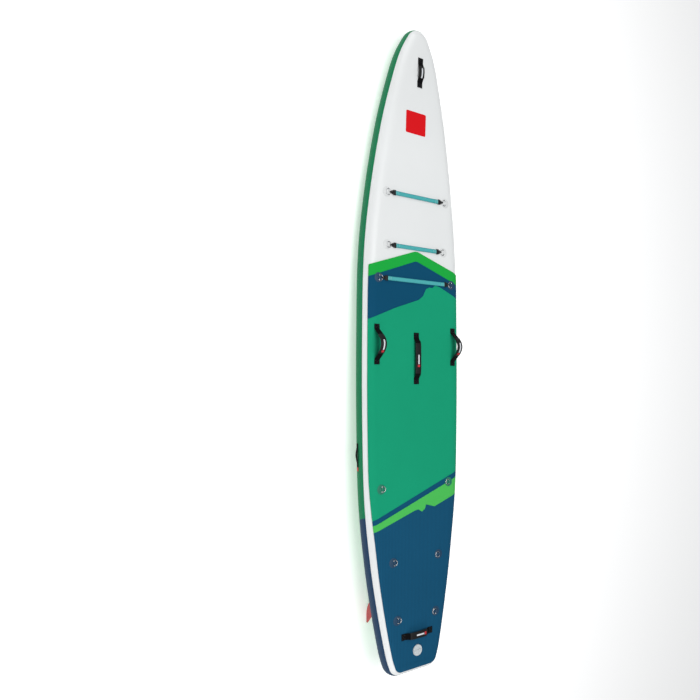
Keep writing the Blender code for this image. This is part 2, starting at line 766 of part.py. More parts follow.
def hook_outline():
    """A hook over a ring's bow, seen along the board: +s is outboard, and the bow's middle is the origin."""
    inner = RING_WIRE / 2 + HOOK_CLEARANCE
    outer = inner + HOOK_WALL
    shank_low = -0.0016
    shank_high = 0.0024
    outline = [(-HOOK_LENGTH, shank_low)]
    outline += [(inner * math.cos(math.radians(t)), inner * math.sin(math.radians(t))) for t in range(204, -37, -24)]
    outline += [(outer * math.cos(math.radians(t)), outer * math.sin(math.radians(t))) for t in (-36, 0, 30, 60, 90, 120)]
    outline += [(-outer - 0.003, shank_high), (-HOOK_LENGTH, shank_high)]
    return outline


HOOK_MESH = prism("hook", hook_outline(), -HOOK_WIDTH / 2, HOOK_WIDTH / 2)
UPRIGHT = Matrix(((0, 0, 1, 0), (1, 0, 0, 0), (0, 1, 0, 0), (0, 0, 0, 1)))


def cargo_strap(name, x, inset, on_pad):
    bow = flat_half_width(x) - inset - (RING_DEPTH - RING_WIRE)
    level = on_deck(x, 0, (PAD_TOP if on_pad else 0) + GAP + RING_HEIGHT)
    half_band = bow - HOOK_LENGTH + 0.006
    shape = bmesh.new()
    bmesh.ops.create_cube(shape, size=1.0)
    bmesh.ops.scale(shape, vec=(STRAP_WIDTH, 2 * half_band, STRAP_THICKNESS), verts=shape.verts)
    strap = add_part("cargo_strap_" + name, mesh_of(shape, name), TURQUOISE, 0.8, 0.0, level)
    for side_name, side in SIDES:
        turn = Matrix.Identity(4) if side > 0 else Matrix.Rotation(math.pi, 4, "Z")
        place = level @ turn @ Matrix.Translation((0, bow, 0)) @ UPRIGHT
        boolean(strap, add_cutter(f"hook_{name}_{side_name}", HOOK_MESH.copy(), place), "UNION")
    return strap


for strap_name, strap_x, strap_inset, strap_on_pad in STRAP_RINGS:
    cargo_strap(strap_name, strap_x * LAYOUT_STRETCH, strap_inset, strap_on_pad)


# ---- Handles ----


def band(name, path, widths, thicknesses, colour, place):
    """A strip of webbing along a path of (x, z) points, its width along Y, with its own width at each point."""
    rows = []
    for i, (x, z) in enumerate(path):
        ahead = Vector(path[min(i + 1, len(path) - 1)]) - Vector(path[max(i - 1, 0)])
        along = ahead.normalized()
        out = Vector((-along.y, along.x)) * thicknesses[i] / 2
        half = widths[i] / 2
        chamfer = min(thicknesses[i] / 3, half / 3)
        row = []
        for y, share in ((half, 1 / 3), (half - chamfer, 1), (chamfer - half, 1), (-half, 1 / 3)):
            row.append(Vector((x + out.x * share, y, z + out.y * share)))
        for y, share in ((-half, -1 / 3), (chamfer - half, -1), (half - chamfer, -1), (half, -1 / 3)):
            row.append(Vector((x + out.x * share, y, z + out.y * share)))
        rows.append(row)
    return add_part(name, smooth(loft(name, rows, closed_rows=True, caps=True)), colour, 0.8, 0.0, place)


def arch(half_span, height, steps):
    """Points of an arch from -half_span to +half_span, with its feet at z = 0."""
    shares = [i / steps for i in range(steps + 1)]
    return [(half_span * (2 * s - 1), height * math.sin(math.pi * s)) for s in shares]


def side_handle(side_name, side):
    y = side * (flat_half_width(SIDE_HANDLE_X) - SIDE_HANDLE_INSET)
    base = on_deck(SIDE_HANDLE_X, y, PAD_TOP + GAP)
    half_span = SIDE_HANDLE_LENGTH / 2 - TAB_LENGTH
    steps = 14
    path = arch(half_span, SIDE_HANDLE_HEIGHT - FOOT_RISE, steps)
    widths, thicknesses = [], []
    for i in range(steps + 1):
        from_end = min(i, steps - i)
        widths.append(FOOT_WIDTH + (SIDE_HANDLE_WIDTH - FOOT_WIDTH) * min(1, from_end / 3))
        thicknesses.append(WEBBING + (SIDE_HANDLE_GRIP - WEBBING) * min(1, max(0, from_end - 2) / 2))
    band("handle_loop_" + side_name, path, widths, thicknesses, BLACK, base @ Matrix.Translation((0, 0, FOOT_RISE)))
    start = half_span + FOOT_CLEARANCE
    lug = 0.003
    outline = [
        (start, FOOT_RISE + WEBBING / 2),
        (start + lug, FOOT_RISE + WEBBING / 2),
        (start + 2 * lug, WEBBING),
        (SIDE_HANDLE_LENGTH / 2, WEBBING),
        (SIDE_HANDLE_LENGTH / 2, 0),
        (start, 0),
    ]
    tab = prism("tab", outline, -SIDE_HANDLE_WIDTH / 2, SIDE_HANDLE_WIDTH / 2)
    sideways = Matrix(((1, 0, 0, 0), (0, 0, -1, 0), (0, 1, 0, 0), (0, 0, 0, 1)))
    add_part(f"handle_tab_{side_name}_fore", tab, BLACK, 0.8, 0.0, base @ sideways)
    turned_round = base @ Matrix.Rotation(math.pi, 4, "Z") @ sideways
    add_part(f"handle_tab_{side_name}_aft", tab.copy(), BLACK, 0.8, 0.0, turned_round)


def low_handle(name, length, width, height, place):
    """A strap sewn down flat at both ends, its middle padded and standing off the deck."""
    half = length / 2
    tab = TAB_LENGTH
    rise = 0.030
    middle = WEBBING / 2
    top = height - 0.004
    path = [(-half, middle), (-half + tab, middle), (-half + tab + rise / 2, (middle + top) / 2)]
    path += [(-half + tab + rise, top), (0, top + 0.001)]
    path += [(-x, z) for x, z in reversed(path[:-1])]
    thicknesses = [WEBBING, WEBBING, 0.005, 0.008, 0.008, 0.008, 0.005, WEBBING, WEBBING]
    return band(name, path, [width] * len(path), thicknesses, BLACK, place)


for side_name, side_sign in SIDES:
    side_handle(side_name, side_sign)
low_handle(
    "handle_centre",
    CENTRE_HANDLE_LENGTH,
    CENTRE_HANDLE_WIDTH,
    CENTRE_HANDLE_HEIGHT,
    on_deck(CENTRE_HANDLE_X, 0, PAD_TOP + GAP),
)
low_handle(
    "handle_nose",
    NOSE_HANDLE_LENGTH,
    NOSE_HANDLE_WIDTH,
    NOSE_HANDLE_HEIGHT,
    on_deck(HALF_LENGTH - NOSE_HANDLE_FROM_NOSE, 0, 2 * GAP),
)
low_handle(
    "handle_tail",
    TAIL_HANDLE_LENGTH,
    TAIL_HANDLE_WIDTH,
    TAIL_HANDLE_HEIGHT,
    on_deck(TAIL_HANDLE_FROM_TAIL - HALF_LENGTH, 0, PAD_TOP + GAP) @ Matrix.Rotation(math.pi / 2, 4, "Z"),
)


# ---- Webbing loops on the rails ----


def rail_strap(name, side):
    reach = math.degrees(RAIL_STRAP_WIDTH / BOARD_THICKNESS)
    angles = spread(RAIL_STRAP_ANGLE - reach, RAIL_STRAP_ANGLE + reach, 2)
    steps = 8
    rows = []
    for i in range(steps + 1):
        share = i / steps
        station = station_at(RAIL_STRAP_X + RAIL_STRAP_LENGTH * (share - 0.5))
        middle = max(0.0, math.sin(math.pi * (share * 1.5 - 0.25)))
        low = GAP + RAIL_STRAP_BULGE * middle
        section = [hull_point(station, angle, low + WEBBING) for angle in angles]
        section += [hull_point(station, angle, low) for angle in reversed(angles)]
        rows.append([Vector((p.x, side * p.y, p.z)) for p in section])
    return add_part(name, loft(name, rows, closed_rows=True, caps=True), BLACK, 0.8)


for side_name, side_sign in SIDES:
    rail_strap("rail_strap_" + side_name, side_sign)


# ---- Fins and their bases ----

# The fin's edges at each share of its depth: leading and trailing, in shares of the root and the rake.
FIN_LEVELS = (
    (0.00, 0.000, 1.000),
    (0.19, 0.260, 1.060),
    (0.38, 0.521, 1.152),
    (0.56, 0.727, 1.442),
    (0.75, 0.927, 1.648),
    (0.88, 1.100, 1.780),
    (0.97, 1.300, 1.820),
    (1.00, 1.480, 1.790),
)
FIN_SECTION = ((0.0, 0.0), (0.12, 0.62), (0.35, 1.0), (0.70, 0.62), (1.0, 0.0))


def fin_mesh():
    """The blade in its base's frame: Z down from the board, X to the nose, the root's leading edge at x = 0."""
    rows = []
    for depth, lead, trail in FIN_LEVELS:
        half = (FIN_ROOT_THICKNESS + (FIN_TIP_THICKNESS - FIN_ROOT_THICKNESS) * depth) / 2
        front = lead * FIN_ROOT
        chord = (trail - lead) * FIN_ROOT
        z = FIN_BASE_THICKNESS + 2 * GAP + (FIN_DEPTH - FIN_BASE_THICKNESS - 2 * GAP) * depth
        row = [Vector((-front - chord * s, half * t, z)) for s, t in FIN_SECTION]
        row += [Vector((-front - chord * s, -half * t, z)) for s, t in FIN_SECTION[-2:0:-1]]
        rows.append(row)
    shape = bmesh.new()
    grid = [[shape.verts.new(point) for point in row] for row in rows]
    for a, b in zip(grid, grid[1:]):
        for j in range(len(a)):
            k = (j + 1) % len(a)
            shape.faces.new((a[j], a[k], b[k], b[j]))
    shape.faces.new(grid[0])
    shape.faces.new(grid[-1])
    bmesh.ops.recalc_face_normals(shape, faces=shape.faces)
    return smooth(mesh_of(shape, "fin"), 50)


def fin_base_mesh(name, place):
    """A long oval plate with a raised socket round the fin's root."""
    middle = -FIN_ROOT / 2
    straight = (FIN_BASE_LENGTH - FIN_BASE_WIDTH) / 2
    outline = []
    for end in (1, -1):
        for i in range(9):
            turn = math.radians(-90 * end + 180 * i / 8)
            outline.append((middle + end * straight + FIN_BASE_WIDTH / 2 * math.cos(turn),
                            FIN_BASE_WIDTH / 2 * math.sin(turn)))
    plate = add_part(name, prism(name, outline, GAP, FIN_BASE_THICKNESS + GAP), BLACK, 0.4, 0.0, place)
    rim = []
    pocket = []
    for i in range(20):
        turn = 2 * math.pi * i / 20
        half_length = FIN_ROOT / 2 + 0.004
        half_width = FIN_ROOT_THICKNESS / 2 + 0.001
        pocket.append((middle + half_length * math.cos(turn), half_width * math.sin(turn)))
        rim.append((middle + (half_length + FIN_SOCKET_WALL) * math.cos(turn),
                    (half_width + FIN_SOCKET_WALL) * math.sin(turn)))
    raised = prism("rim", rim, FIN_BASE_THICKNESS - 0.001, FIN_BASE_THICKNESS + FIN_SOCKET_HEIGHT)
    hollow = prism("pocket", pocket, FIN_BASE_THICKNESS + GAP, FIN_BASE_THICKNESS + 2 * FIN_SOCKET_HEIGHT)
    boolean(plate, add_cutter("socket_rim_" + name, raised, place), "UNION")
    boolean(plate, add_cutter("socket_pocket_" + name, hollow, place), "DIFFERENCE")
    return plate


FIN_MESH = fin_mesh()
for side_name, side_sign in SIDES:
    fin_place = on_bottom(FIN_FROM_TAIL - HALF_LENGTH, side_sign * FIN_OFFSET)
    add_part("fin_" + side_name, FIN_MESH.copy(), FIN_RED, 0.35, 0.0, fin_place)
    fin_base_mesh("fin_base_" + side_name, fin_place)


# ---- Set the board down on its fin tips and the ridge of its bow ----


def lowest(points, pitch):
    """The lowest height among points once the board is pitched nose down."""
    return min(p.z * math.cos(pitch) - p.x * math.sin(pitch) for p in points)


def resting_pitch():
    """The pitch at which the fins' tips and the bottom stand level."""
    fin_place = on_bottom(FIN_FROM_TAIL - HALF_LENGTH, FIN_OFFSET)
    tips = [fin_place @ v.co for v in FIN_MESH.vertices]
    keel = [keel_point(station, 0) for station in OUTLINE]
    low, high = 0.0, math.radians(15)
    for _ in range(50):
        pitch = (low + high) / 2
        if lowest(tips, pitch) < lowest(keel, pitch):
            low = pitch
        else:
            high = pitch
    return pitch


def corners_of(part, graph):
    """The world positions of a part's vertices as its modifiers leave them."""
    seen = part.evaluated_get(graph)
    mesh = seen.to_mesh()
    points = [seen.matrix_world @ v.co for v in mesh.vertices]
    seen.to_mesh_clear()
    return points


BOARD.rotation_euler = (0, resting_pitch(), 0)
bpy.context.view_layer.update()
rest_graph = bpy.context.evaluated_depsgraph_get()
everything = [p for part in PARTS.objects if part.type == "MESH" for p in corners_of(part, rest_graph)]
middle_x = (min(p.x for p in everything) + max(p.x for p in everything)) / 2
BOARD.location = (-middle_x, 0, -min(p.z for p in everything))
bpy.context.view_layer.update()
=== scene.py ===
# %% [markdown]
# # An inflatable touring paddleboard
#
# The board is a coated-fabric envelope blown up hard, with foam pads glued on its deck, and webbing, rings,
# a valve and two fins fixed to the outside. This script dresses the imported model of it: each cell makes one
# kind of piece or one finish. The imported model says where everything is, so the first step is to load it.

import json
import math

import bmesh
import bpy
from mathutils import Matrix, Vector


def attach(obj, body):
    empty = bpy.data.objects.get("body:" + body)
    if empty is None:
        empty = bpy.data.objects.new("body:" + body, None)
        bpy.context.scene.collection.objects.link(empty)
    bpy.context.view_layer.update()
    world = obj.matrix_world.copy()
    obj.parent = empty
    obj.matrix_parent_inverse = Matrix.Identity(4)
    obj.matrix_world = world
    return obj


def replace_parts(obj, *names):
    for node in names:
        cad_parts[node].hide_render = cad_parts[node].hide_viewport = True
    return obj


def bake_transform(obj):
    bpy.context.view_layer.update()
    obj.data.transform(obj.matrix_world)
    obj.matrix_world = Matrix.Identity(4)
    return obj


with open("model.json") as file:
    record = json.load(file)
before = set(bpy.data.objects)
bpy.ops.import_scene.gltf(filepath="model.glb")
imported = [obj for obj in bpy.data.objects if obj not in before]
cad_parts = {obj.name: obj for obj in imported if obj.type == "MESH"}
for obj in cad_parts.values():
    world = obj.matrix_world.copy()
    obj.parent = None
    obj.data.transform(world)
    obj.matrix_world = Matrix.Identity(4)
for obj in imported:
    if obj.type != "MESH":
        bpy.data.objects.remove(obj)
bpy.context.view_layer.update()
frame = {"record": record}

# %% [markdown]
# The board rests on its two fins and the ridge of its bow, so its deck is tipped a few degrees. Working in
# the board's own axes is much easier: X to the nose, Y to port, Z out of the deck, with zero in the middle of
# the deck's skin. One of the record's mounts is a point on the flat deck with its normal, and that is all it
# takes to work out the matrix from the board's axes to the floor's.

# %% The board's own axes
PAD_TOP = 0.0053
standing = next(m for m in frame["record"]["mounts"] if m["name"] == "deck_standing_area")
pitch = math.atan2(standing["axis"][0], standing["axis"][2])
REST = Matrix.Rotation(pitch, 4, "Y")
REST.translation = Vector(standing["pos_m"]) - REST.to_3x3() @ Vector((-0.45, 0, PAD_TOP))
print("tipped", round(math.degrees(pitch), 2), "degrees")

# %% [markdown]
# The camera looks down on the deck from port, with the nose at the top of the frame. It is placed in the
# board's axes too: 38.5 degrees off the deck's normal and 4.3 m away. The optical axis passes a little aft
# of the middle and to one side, which is the camera's shift. A lens near 35 mm gives the same perspective.

# %% The camera
LEAN_FROM_DECK = 38.5
CAMERA_DISTANCE = 4.3
CAMERA_AFT = -0.185
LENS = 35.34
FRAME_SHIFT = (-0.0938, 0.0457)

lean = math.radians(LEAN_FROM_DECK)
back = Vector((0, math.sin(lean), math.cos(lean)))
right = Vector((0, -math.cos(lean), math.sin(lean)))
turn = Matrix((right, (1, 0, 0), back)).transposed().to_4x4()
camera_data = bpy.data.cameras.new("camera")
camera_data.lens = LENS
camera_data.sensor_width = 36
camera_data.shift_x, camera_data.shift_y = FRAME_SHIFT
camera = bpy.data.objects.new("camera", camera_data)
camera.matrix_world = REST @ Matrix.Translation(Vector((CAMERA_AFT, 0, 0)) + back * CAMERA_DISTANCE) @ turn
bpy.context.scene.collection.objects.link(camera)
bpy.context.scene.camera = camera
print("camera at", [round(v, 3) for v in camera.matrix_world.translation])

# %% [markdown]
# Colours are written as the hex values a paint chart would give and turned to the linear values that the
# renderer works in. A material is built node by node with one small helper, which makes a node, sets its
# values and joins its inputs to the nodes before it.

# %% Colours and nodes


def linear(code):
    """Turns an sRGB hex value into linear red, green, blue and alpha."""
    parts = [int(code[i : i + 2], 16) / 255 for i in (0, 2, 4)]
    return (*[p / 12.92 if p <= 0.04045 else ((p + 0.055) / 1.055) ** 2.4 for p in parts], 1.0)


def new_material(name, **values):
    """A material whose Principled shader has the given values. Returns it and its tree's nodes."""
    made = bpy.data.materials.new(name)
    made.use_nodes = True
    shader = made.node_tree.nodes["Principled BSDF"]
    for key, value in values.items():
        shader.inputs[key.replace("_", " ")].default_value = value
    return made, made.node_tree, shader


def add(tree, kind, settings=None, values=None, links=None):
    """Adds a node, sets its properties and its inputs' values, and links its inputs from other sockets."""
    node = tree.nodes.new(kind)
    for key, value in (settings or {}).items():
        setattr(node, key, value)
    for key, value in (values or {}).items():
        node.inputs[key].default_value = value
    for key, socket in (links or {}).items():
        tree.links.new(socket, node.inputs[key])
    return node


# %% [markdown]
# The envelope's skin is PVC-coated polyester. It comes off the roll satin and very slightly wavy, because the
# threads inside pull on it in rows along the board. A slow noise gives the colour a little unevenness, and a
# fine one bends the highlights. The thread rows are 9 mm apart on such boards, so the noise is stretched along
# the board and its grain is about that wide.

# %% Coated fabric


def coated_fabric(name, code, roughness, coat=0.0):
    made, tree, shader = new_material(name, Roughness=roughness, Coat_Weight=coat, Coat_Roughness=0.25)
    place = add(tree, "ShaderNodeTexCoord").outputs["Object"]
    slow = add(tree, "ShaderNodeTexNoise", values={"Scale": 1.3, "Detail": 3.0}, links={"Vector": place})
    tint = add(tree, "ShaderNodeMix", {"data_type": "RGBA", "blend_type": "MULTIPLY"},
               {0: 1.0, 6: linear(code)})
    shade = add(tree, "ShaderNodeMapRange", values={3: 0.90, 4: 1.04}, links={0: slow.outputs["Fac"]})
    tree.links.new(shade.outputs[0], tint.inputs[7])
    tree.links.new(tint.outputs[2], shader.inputs["Base Color"])
    stretched = add(tree, "ShaderNodeMapping", values={"Scale": (8.0, 110.0, 110.0)}, links={"Vector": place})
    rows = add(tree, "ShaderNodeTexNoise", values={"Scale": 1.0, "Detail": 2.0},
               links={"Vector": stretched.outputs[0]})
    bump = add(tree, "ShaderNodeBump", values={"Strength": 0.22, "Distance": 0.0006},
               links={"Height": rows.outputs["Fac"]})
    tree.links.new(bump.outputs[0], shader.inputs["Normal"])
    return made


white_skin = coated_fabric("white coated fabric", "E6E8E8", 0.38)
bottom_skin_green = coated_fabric("green coated fabric", "1F9E5C", 0.30, 0.25)
print("coated fabrics", white_skin.name, bottom_skin_green.name)

# %% [markdown]
# The rails are wrapped in a wide tape of the same fabric in a deeper green, and from a little forward of the
# fins to the tail the tape is printed navy. The change of colour is a mask on the board's length: the Object
# coordinates of a piece that sits unturned at the origin are simply its place in metres.

# %% The rails' two-coloured tape
NAVY_FROM = -1.08


def split_by_length(made, tree, shader, aft_code, x, slant):
    """Recolours a material aft of x, along a line that slants with height."""
    place = add(tree, "ShaderNodeTexCoord").outputs["Object"]
    axes = add(tree, "ShaderNodeSeparateXYZ", links={0: place})
    leaning = add(tree, "ShaderNodeMath", {"operation": "MULTIPLY_ADD"}, {1: slant, 2: -x},
                  {0: axes.outputs["Z"]})
    along = add(tree, "ShaderNodeMath", {"operation": "ADD"},
                links={0: axes.outputs["X"], 1: leaning.outputs[0]})
    aft = add(tree, "ShaderNodeMath", {"operation": "LESS_THAN"}, {1: 0.0}, {0: along.outputs[0]})
    fore_colour = shader.inputs["Base Color"].links[0].from_socket
    both = add(tree, "ShaderNodeMix", {"data_type": "RGBA"}, {7: linear(aft_code)},
               {0: aft.outputs[0], 6: fore_colour})
    tree.links.new(both.outputs[2], shader.inputs["Base Color"])
    return made


rail_tape = coated_fabric("green and navy rail tape", "0F7A4E", 0.55)
rail_shader = rail_tape.node_tree.nodes["Principled BSDF"]
rail_shader.inputs["Specular IOR Level"].default_value = 0.15
split_by_length(rail_tape, rail_tape.node_tree, rail_shader, "1F3C5A", NAVY_FROM, -0.35)
print("rail tape turns navy at", NAVY_FROM)

# %% [markdown]
# The deck pads are EVA foam: closed cells, matt, cut by a router and pressed with a pattern for grip. The
# pattern on the middle pads is a fine diamond press; the tail pad is milled with grooves along the board,
# 11 mm apart. Both come from the place on the board: a sine across the board makes grooves, and two crossed
# sines make diamonds. Real diamonds are about 5 mm, drawn here at 9 mm so that they show at all. The same
# height darkens the foam's colour in the grooves and in the hollows of the press: this is painted shade.

# %% Foam


def foam(name, code, grooved=False):
    made, tree, shader = new_material(name, Roughness=0.82, Specular_IOR_Level=0.1)
    place = add(tree, "ShaderNodeTexCoord").outputs["Object"]
    axes = add(tree, "ShaderNodeSeparateXYZ", links={0: place})
    if grooved:
        across = add(tree, "ShaderNodeMath", {"operation": "MULTIPLY"}, {1: 2 * math.pi / 0.011},
                     {0: axes.outputs["Y"]})
        wave = add(tree, "ShaderNodeMath", {"operation": "SINE"}, links={0: across.outputs[0]})
        height = add(tree, "ShaderNodeMapRange", values={1: -1.0, 2: -0.3, 3: 0.0, 4: 1.0},
                     links={0: wave.outputs[0]})
        depth, painted_shade_low = 0.0012, 0.80
    else:
        waves = []
        for sign in (1, -1):
            skew = add(tree, "ShaderNodeMath", {"operation": "MULTIPLY_ADD"}, {1: sign * 0.6},
                       {0: axes.outputs["X"], 2: axes.outputs["Y"]})
            turns = add(tree, "ShaderNodeMath", {"operation": "MULTIPLY"}, {1: 2 * math.pi / 0.009},
                        {0: skew.outputs[0]})
            wave = add(tree, "ShaderNodeMath", {"operation": "SINE"}, links={0: turns.outputs[0]})
            waves.append(wave.outputs[0])
        both = add(tree, "ShaderNodeMath", {"operation": "MINIMUM"}, links={0: waves[0], 1: waves[1]})
        height = add(tree, "ShaderNodeMapRange", values={1: -1.0, 2: 0.0, 3: 0.0, 4: 1.0},
                     links={0: both.outputs[0]})
        depth, painted_shade_low = 0.0005, 0.93
    # painted shade: the foam's colour is darker in the grooves and the press's hollows, where shade falls
    shade = add(tree, "ShaderNodeMapRange", values={3: painted_shade_low, 4: 1.0}, links={0: height.outputs[0]})
    slow = add(tree, "ShaderNodeTexNoise", values={"Scale": 2.2, "Detail": 4.0}, links={"Vector": place})
    wear = add(tree, "ShaderNodeMapRange", values={3: 0.92, 4: 1.06}, links={0: slow.outputs["Fac"]})
    level = add(tree, "ShaderNodeMath", {"operation": "MULTIPLY"},
                links={0: shade.outputs[0], 1: wear.outputs[0]})
    tint = add(tree, "ShaderNodeMix", {"data_type": "RGBA", "blend_type": "MULTIPLY"}, {0: 1.0, 6: linear(code)},
               {7: level.outputs[0]})
    tree.links.new(tint.outputs[2], shader.inputs["Base Color"])
    bump = add(tree, "ShaderNodeBump", values={"Strength": 0.7, "Distance": depth},
               links={"Height": height.outputs[0]})
    tree.links.new(bump.outputs[0], shader.inputs["Normal"])
    return made


PAD_FOAMS = {
    "pad_chevron": foam("lime foam", "1CA840"),
    "pad_front": foam("deep blue foam", "084A6A"),
    "pad_main": foam("sea green foam", "149A72"),
    "pad_stripe": foam("deep blue foam stripe", "0C4E6E"),
    "pad_band": foam("leaf green foam", "4CBC57"),
    "pad_tail": foam("grooved blue foam", "124F70", grooved=True),
}
print("foams", [m.name for m in PAD_FOAMS.values()])

# %% [markdown]
# Nylon webbing is woven, so it has ribs across it and a slightly hairy sheen. Each strap piece carries two
# numbers on its vertices, how far along it and how far across it they are, in metres, and the weave follows
# those round every bend. Real ribs are 1.5 mm apart; they are drawn at 3 mm to show at all. The weave's
# height also darkens the colour in the hollows between the ribs and lightens it on their crests: this is
# painted shade and painted highlight.

# %% Webbing


def webbing(name, code, roughness=0.75, pitch=0.003, edge_code=None):
    made, tree, shader = new_material(name, Roughness=roughness, Specular_IOR_Level=0.08)
    along = add(tree, "ShaderNodeAttribute", {"attribute_name": "along"}).outputs["Fac"]
    across = add(tree, "ShaderNodeAttribute", {"attribute_name": "across"}).outputs["Fac"]
    waves = []
    for source, spacing in ((along, pitch), (across, pitch * 1.2)):
        turns = add(tree, "ShaderNodeMath", {"operation": "MULTIPLY"}, {1: 2 * math.pi / spacing}, {0: source})
        waves.append(add(tree, "ShaderNodeMath", {"operation": "SINE"}, links={0: turns.outputs[0]}).outputs[0])
    cross = add(tree, "ShaderNodeMath", {"operation": "MULTIPLY_ADD"},
                links={0: waves[0], 1: waves[1], 2: waves[0]})
    # painted shade and painted highlight: the colour is darker in the weave's hollows and lighter on its crests
    shade = add(tree, "ShaderNodeMapRange", values={1: -2.0, 2: 2.0, 3: 0.72, 4: 1.12},
                links={0: cross.outputs[0]})
    tint = add(tree, "ShaderNodeMix", {"data_type": "RGBA", "blend_type": "MULTIPLY"}, {0: 1.0, 6: linear(code)},
               {7: shade.outputs[0]})
    if edge_code:
        out = add(tree, "ShaderNodeMath", {"operation": "ABSOLUTE"}, links={0: across})
        edge = add(tree, "ShaderNodeMath", {"operation": "GREATER_THAN"}, {1: 0.0090}, {0: out.outputs[0]})
        tint = add(tree, "ShaderNodeMix", {"data_type": "RGBA"}, {7: linear(edge_code)},
                   {0: edge.outputs[0], 6: tint.outputs[2]})
    tree.links.new(tint.outputs[2], shader.inputs["Base Color"])
    bump = add(tree, "ShaderNodeBump", values={"Strength": 0.6, "Distance": 0.0005},
               links={"Height": cross.outputs[0]})
    tree.links.new(bump.outputs[0], shader.inputs["Normal"])
    return made


black_webbing = webbing("black nylon webbing", "0C0C0E")
turquoise_elastic = webbing("turquoise woven elastic", "53B4B6", 0.7, 0.0035, "3D979C")
print("webbings", black_webbing.name, turquoise_elastic.name)

# %% [markdown]
# The padded grips are neoprene sleeves, smooth and slightly rubbery, with a plain pale stripe printed along
# the top and a small red tag sewn in at one end. Both are masks on the same two numbers as the webbing's
# weave: along the grip from its middle, and across it.

# %% Neoprene grip with a stripe and a tag


def grip_sleeve(name, stripe, tag):
    """stripe and tag are (start, end) along the grip, in metres from its middle."""
    made, tree, shader = new_material(name, Roughness=0.62, Specular_IOR_Level=0.3, Sheen_Weight=0.03)
    along = add(tree, "ShaderNodeAttribute", {"attribute_name": "along"}).outputs["Fac"]
    across = add(tree, "ShaderNodeAttribute", {"attribute_name": "across"}).outputs["Fac"]
    top = add(tree, "ShaderNodeAttribute", {"attribute_name": "top"}).outputs["Fac"]
    place = add(tree, "ShaderNodeTexCoord").outputs["Object"]
    grain = add(tree, "ShaderNodeTexNoise", values={"Scale": 420.0, "Detail": 2.0}, links={"Vector": place})
    shade = add(tree, "ShaderNodeMapRange", values={3: 0.7, 4: 1.3}, links={0: grain.outputs["Fac"]})
    colour = add(tree, "ShaderNodeMix", {"data_type": "RGBA", "blend_type": "MULTIPLY"},
                 {0: 1.0, 6: linear("0B0B0D")}, {7: shade.outputs[0]}).outputs[2]
    for code, (start, end), half in (("D5D8DC", stripe, 0.0048), ("C02A32", tag, 0.0090)):
        centre, reach = (start + end) / 2, (end - start) / 2
        lengthwise = add(tree, "ShaderNodeMath", {"operation": "COMPARE"}, {1: centre, 2: reach}, {0: along})
        sideways = add(tree, "ShaderNodeMath", {"operation": "COMPARE"}, {1: 0.0, 2: half}, {0: across})
        inside = add(tree, "ShaderNodeMath", {"operation": "MULTIPLY"},
                     links={0: lengthwise.outputs[0], 1: sideways.outputs[0]})
        shown = add(tree, "ShaderNodeMath", {"operation": "MULTIPLY"}, links={0: inside.outputs[0], 1: top})
        colour = add(tree, "ShaderNodeMix", {"data_type": "RGBA"}, {7: linear(code)},
                     {0: shown.outputs[0], 6: colour}).outputs[2]
    tree.links.new(colour, shader.inputs["Base Color"])
    bump = add(tree, "ShaderNodeBump", values={"Strength": 0.25, "Distance": 0.0004},
               links={"Height": grain.outputs["Fac"]})
    tree.links.new(bump.outputs[0], shader.inputs["Normal"])
    return made


grip_material = grip_sleeve("black neoprene grip", (-0.036, 0.022), (-0.054, -0.040))
print("grip", grip_material.name)

# %% [markdown]
# The hard fittings are few: stainless wire rings, black moulded hooks and fin bases, a pale grey valve, and
# thread. Moulded plastic has a faint orange-peel skin that breaks up its highlights. Steel wire is drawn and
# then tumbled, so it is bright with soft, fine scratches. Patches are coated fabric in the deck's colours.

# %% Plastics, steel and thread


def grained(name, code, roughness, grain=900.0, strength=0.08, **values):
    made, tree, shader = new_material(name, Base_Color=linear(code), **values)
    place = add(tree, "ShaderNodeTexCoord").outputs["Object"]
    noise = add(tree, "ShaderNodeTexNoise", values={"Scale": grain, "Detail": 3.0}, links={"Vector": place})
    gloss = add(tree, "ShaderNodeMapRange", values={3: roughness - 0.06, 4: roughness + 0.08},
                links={0: noise.outputs["Fac"]})
    tree.links.new(gloss.outputs[0], shader.inputs["Roughness"])
    bump = add(tree, "ShaderNodeBump", values={"Strength": strength, "Distance": 0.0003},
               links={"Height": noise.outputs["Fac"]})
    tree.links.new(bump.outputs[0], shader.inputs["Normal"])
    return made


steel_wire = grained("tumbled stainless wire", "D4D6D8", 0.22, 1500.0, 0.04, Metallic=1.0)
black_plastic = grained("black moulded acetal", "0F1012", 0.42)
grey_plastic = grained("pale grey moulded nylon", "C3C9CB", 0.40)
white_thread = grained("white bonded thread", "C9CBCB", 0.7, 2500.0, 0.2)
dark_thread = grained("dark bonded thread", "3A3D42", 0.7, 2500.0, 0.2)
navy_patch = grained("navy coated patch", "123C5A", 0.55, 1200.0)
green_patch = grained("green coated patch", "14735A", 0.55, 1200.0)
white_patch = grained("white coated patch", "D9DBDB", 0.5, 1200.0)
badge_red = grained("red printed patch", "D60C16", 0.40, 300.0, 0.03, Specular_IOR_Level=0.2)
print("hard fittings done")
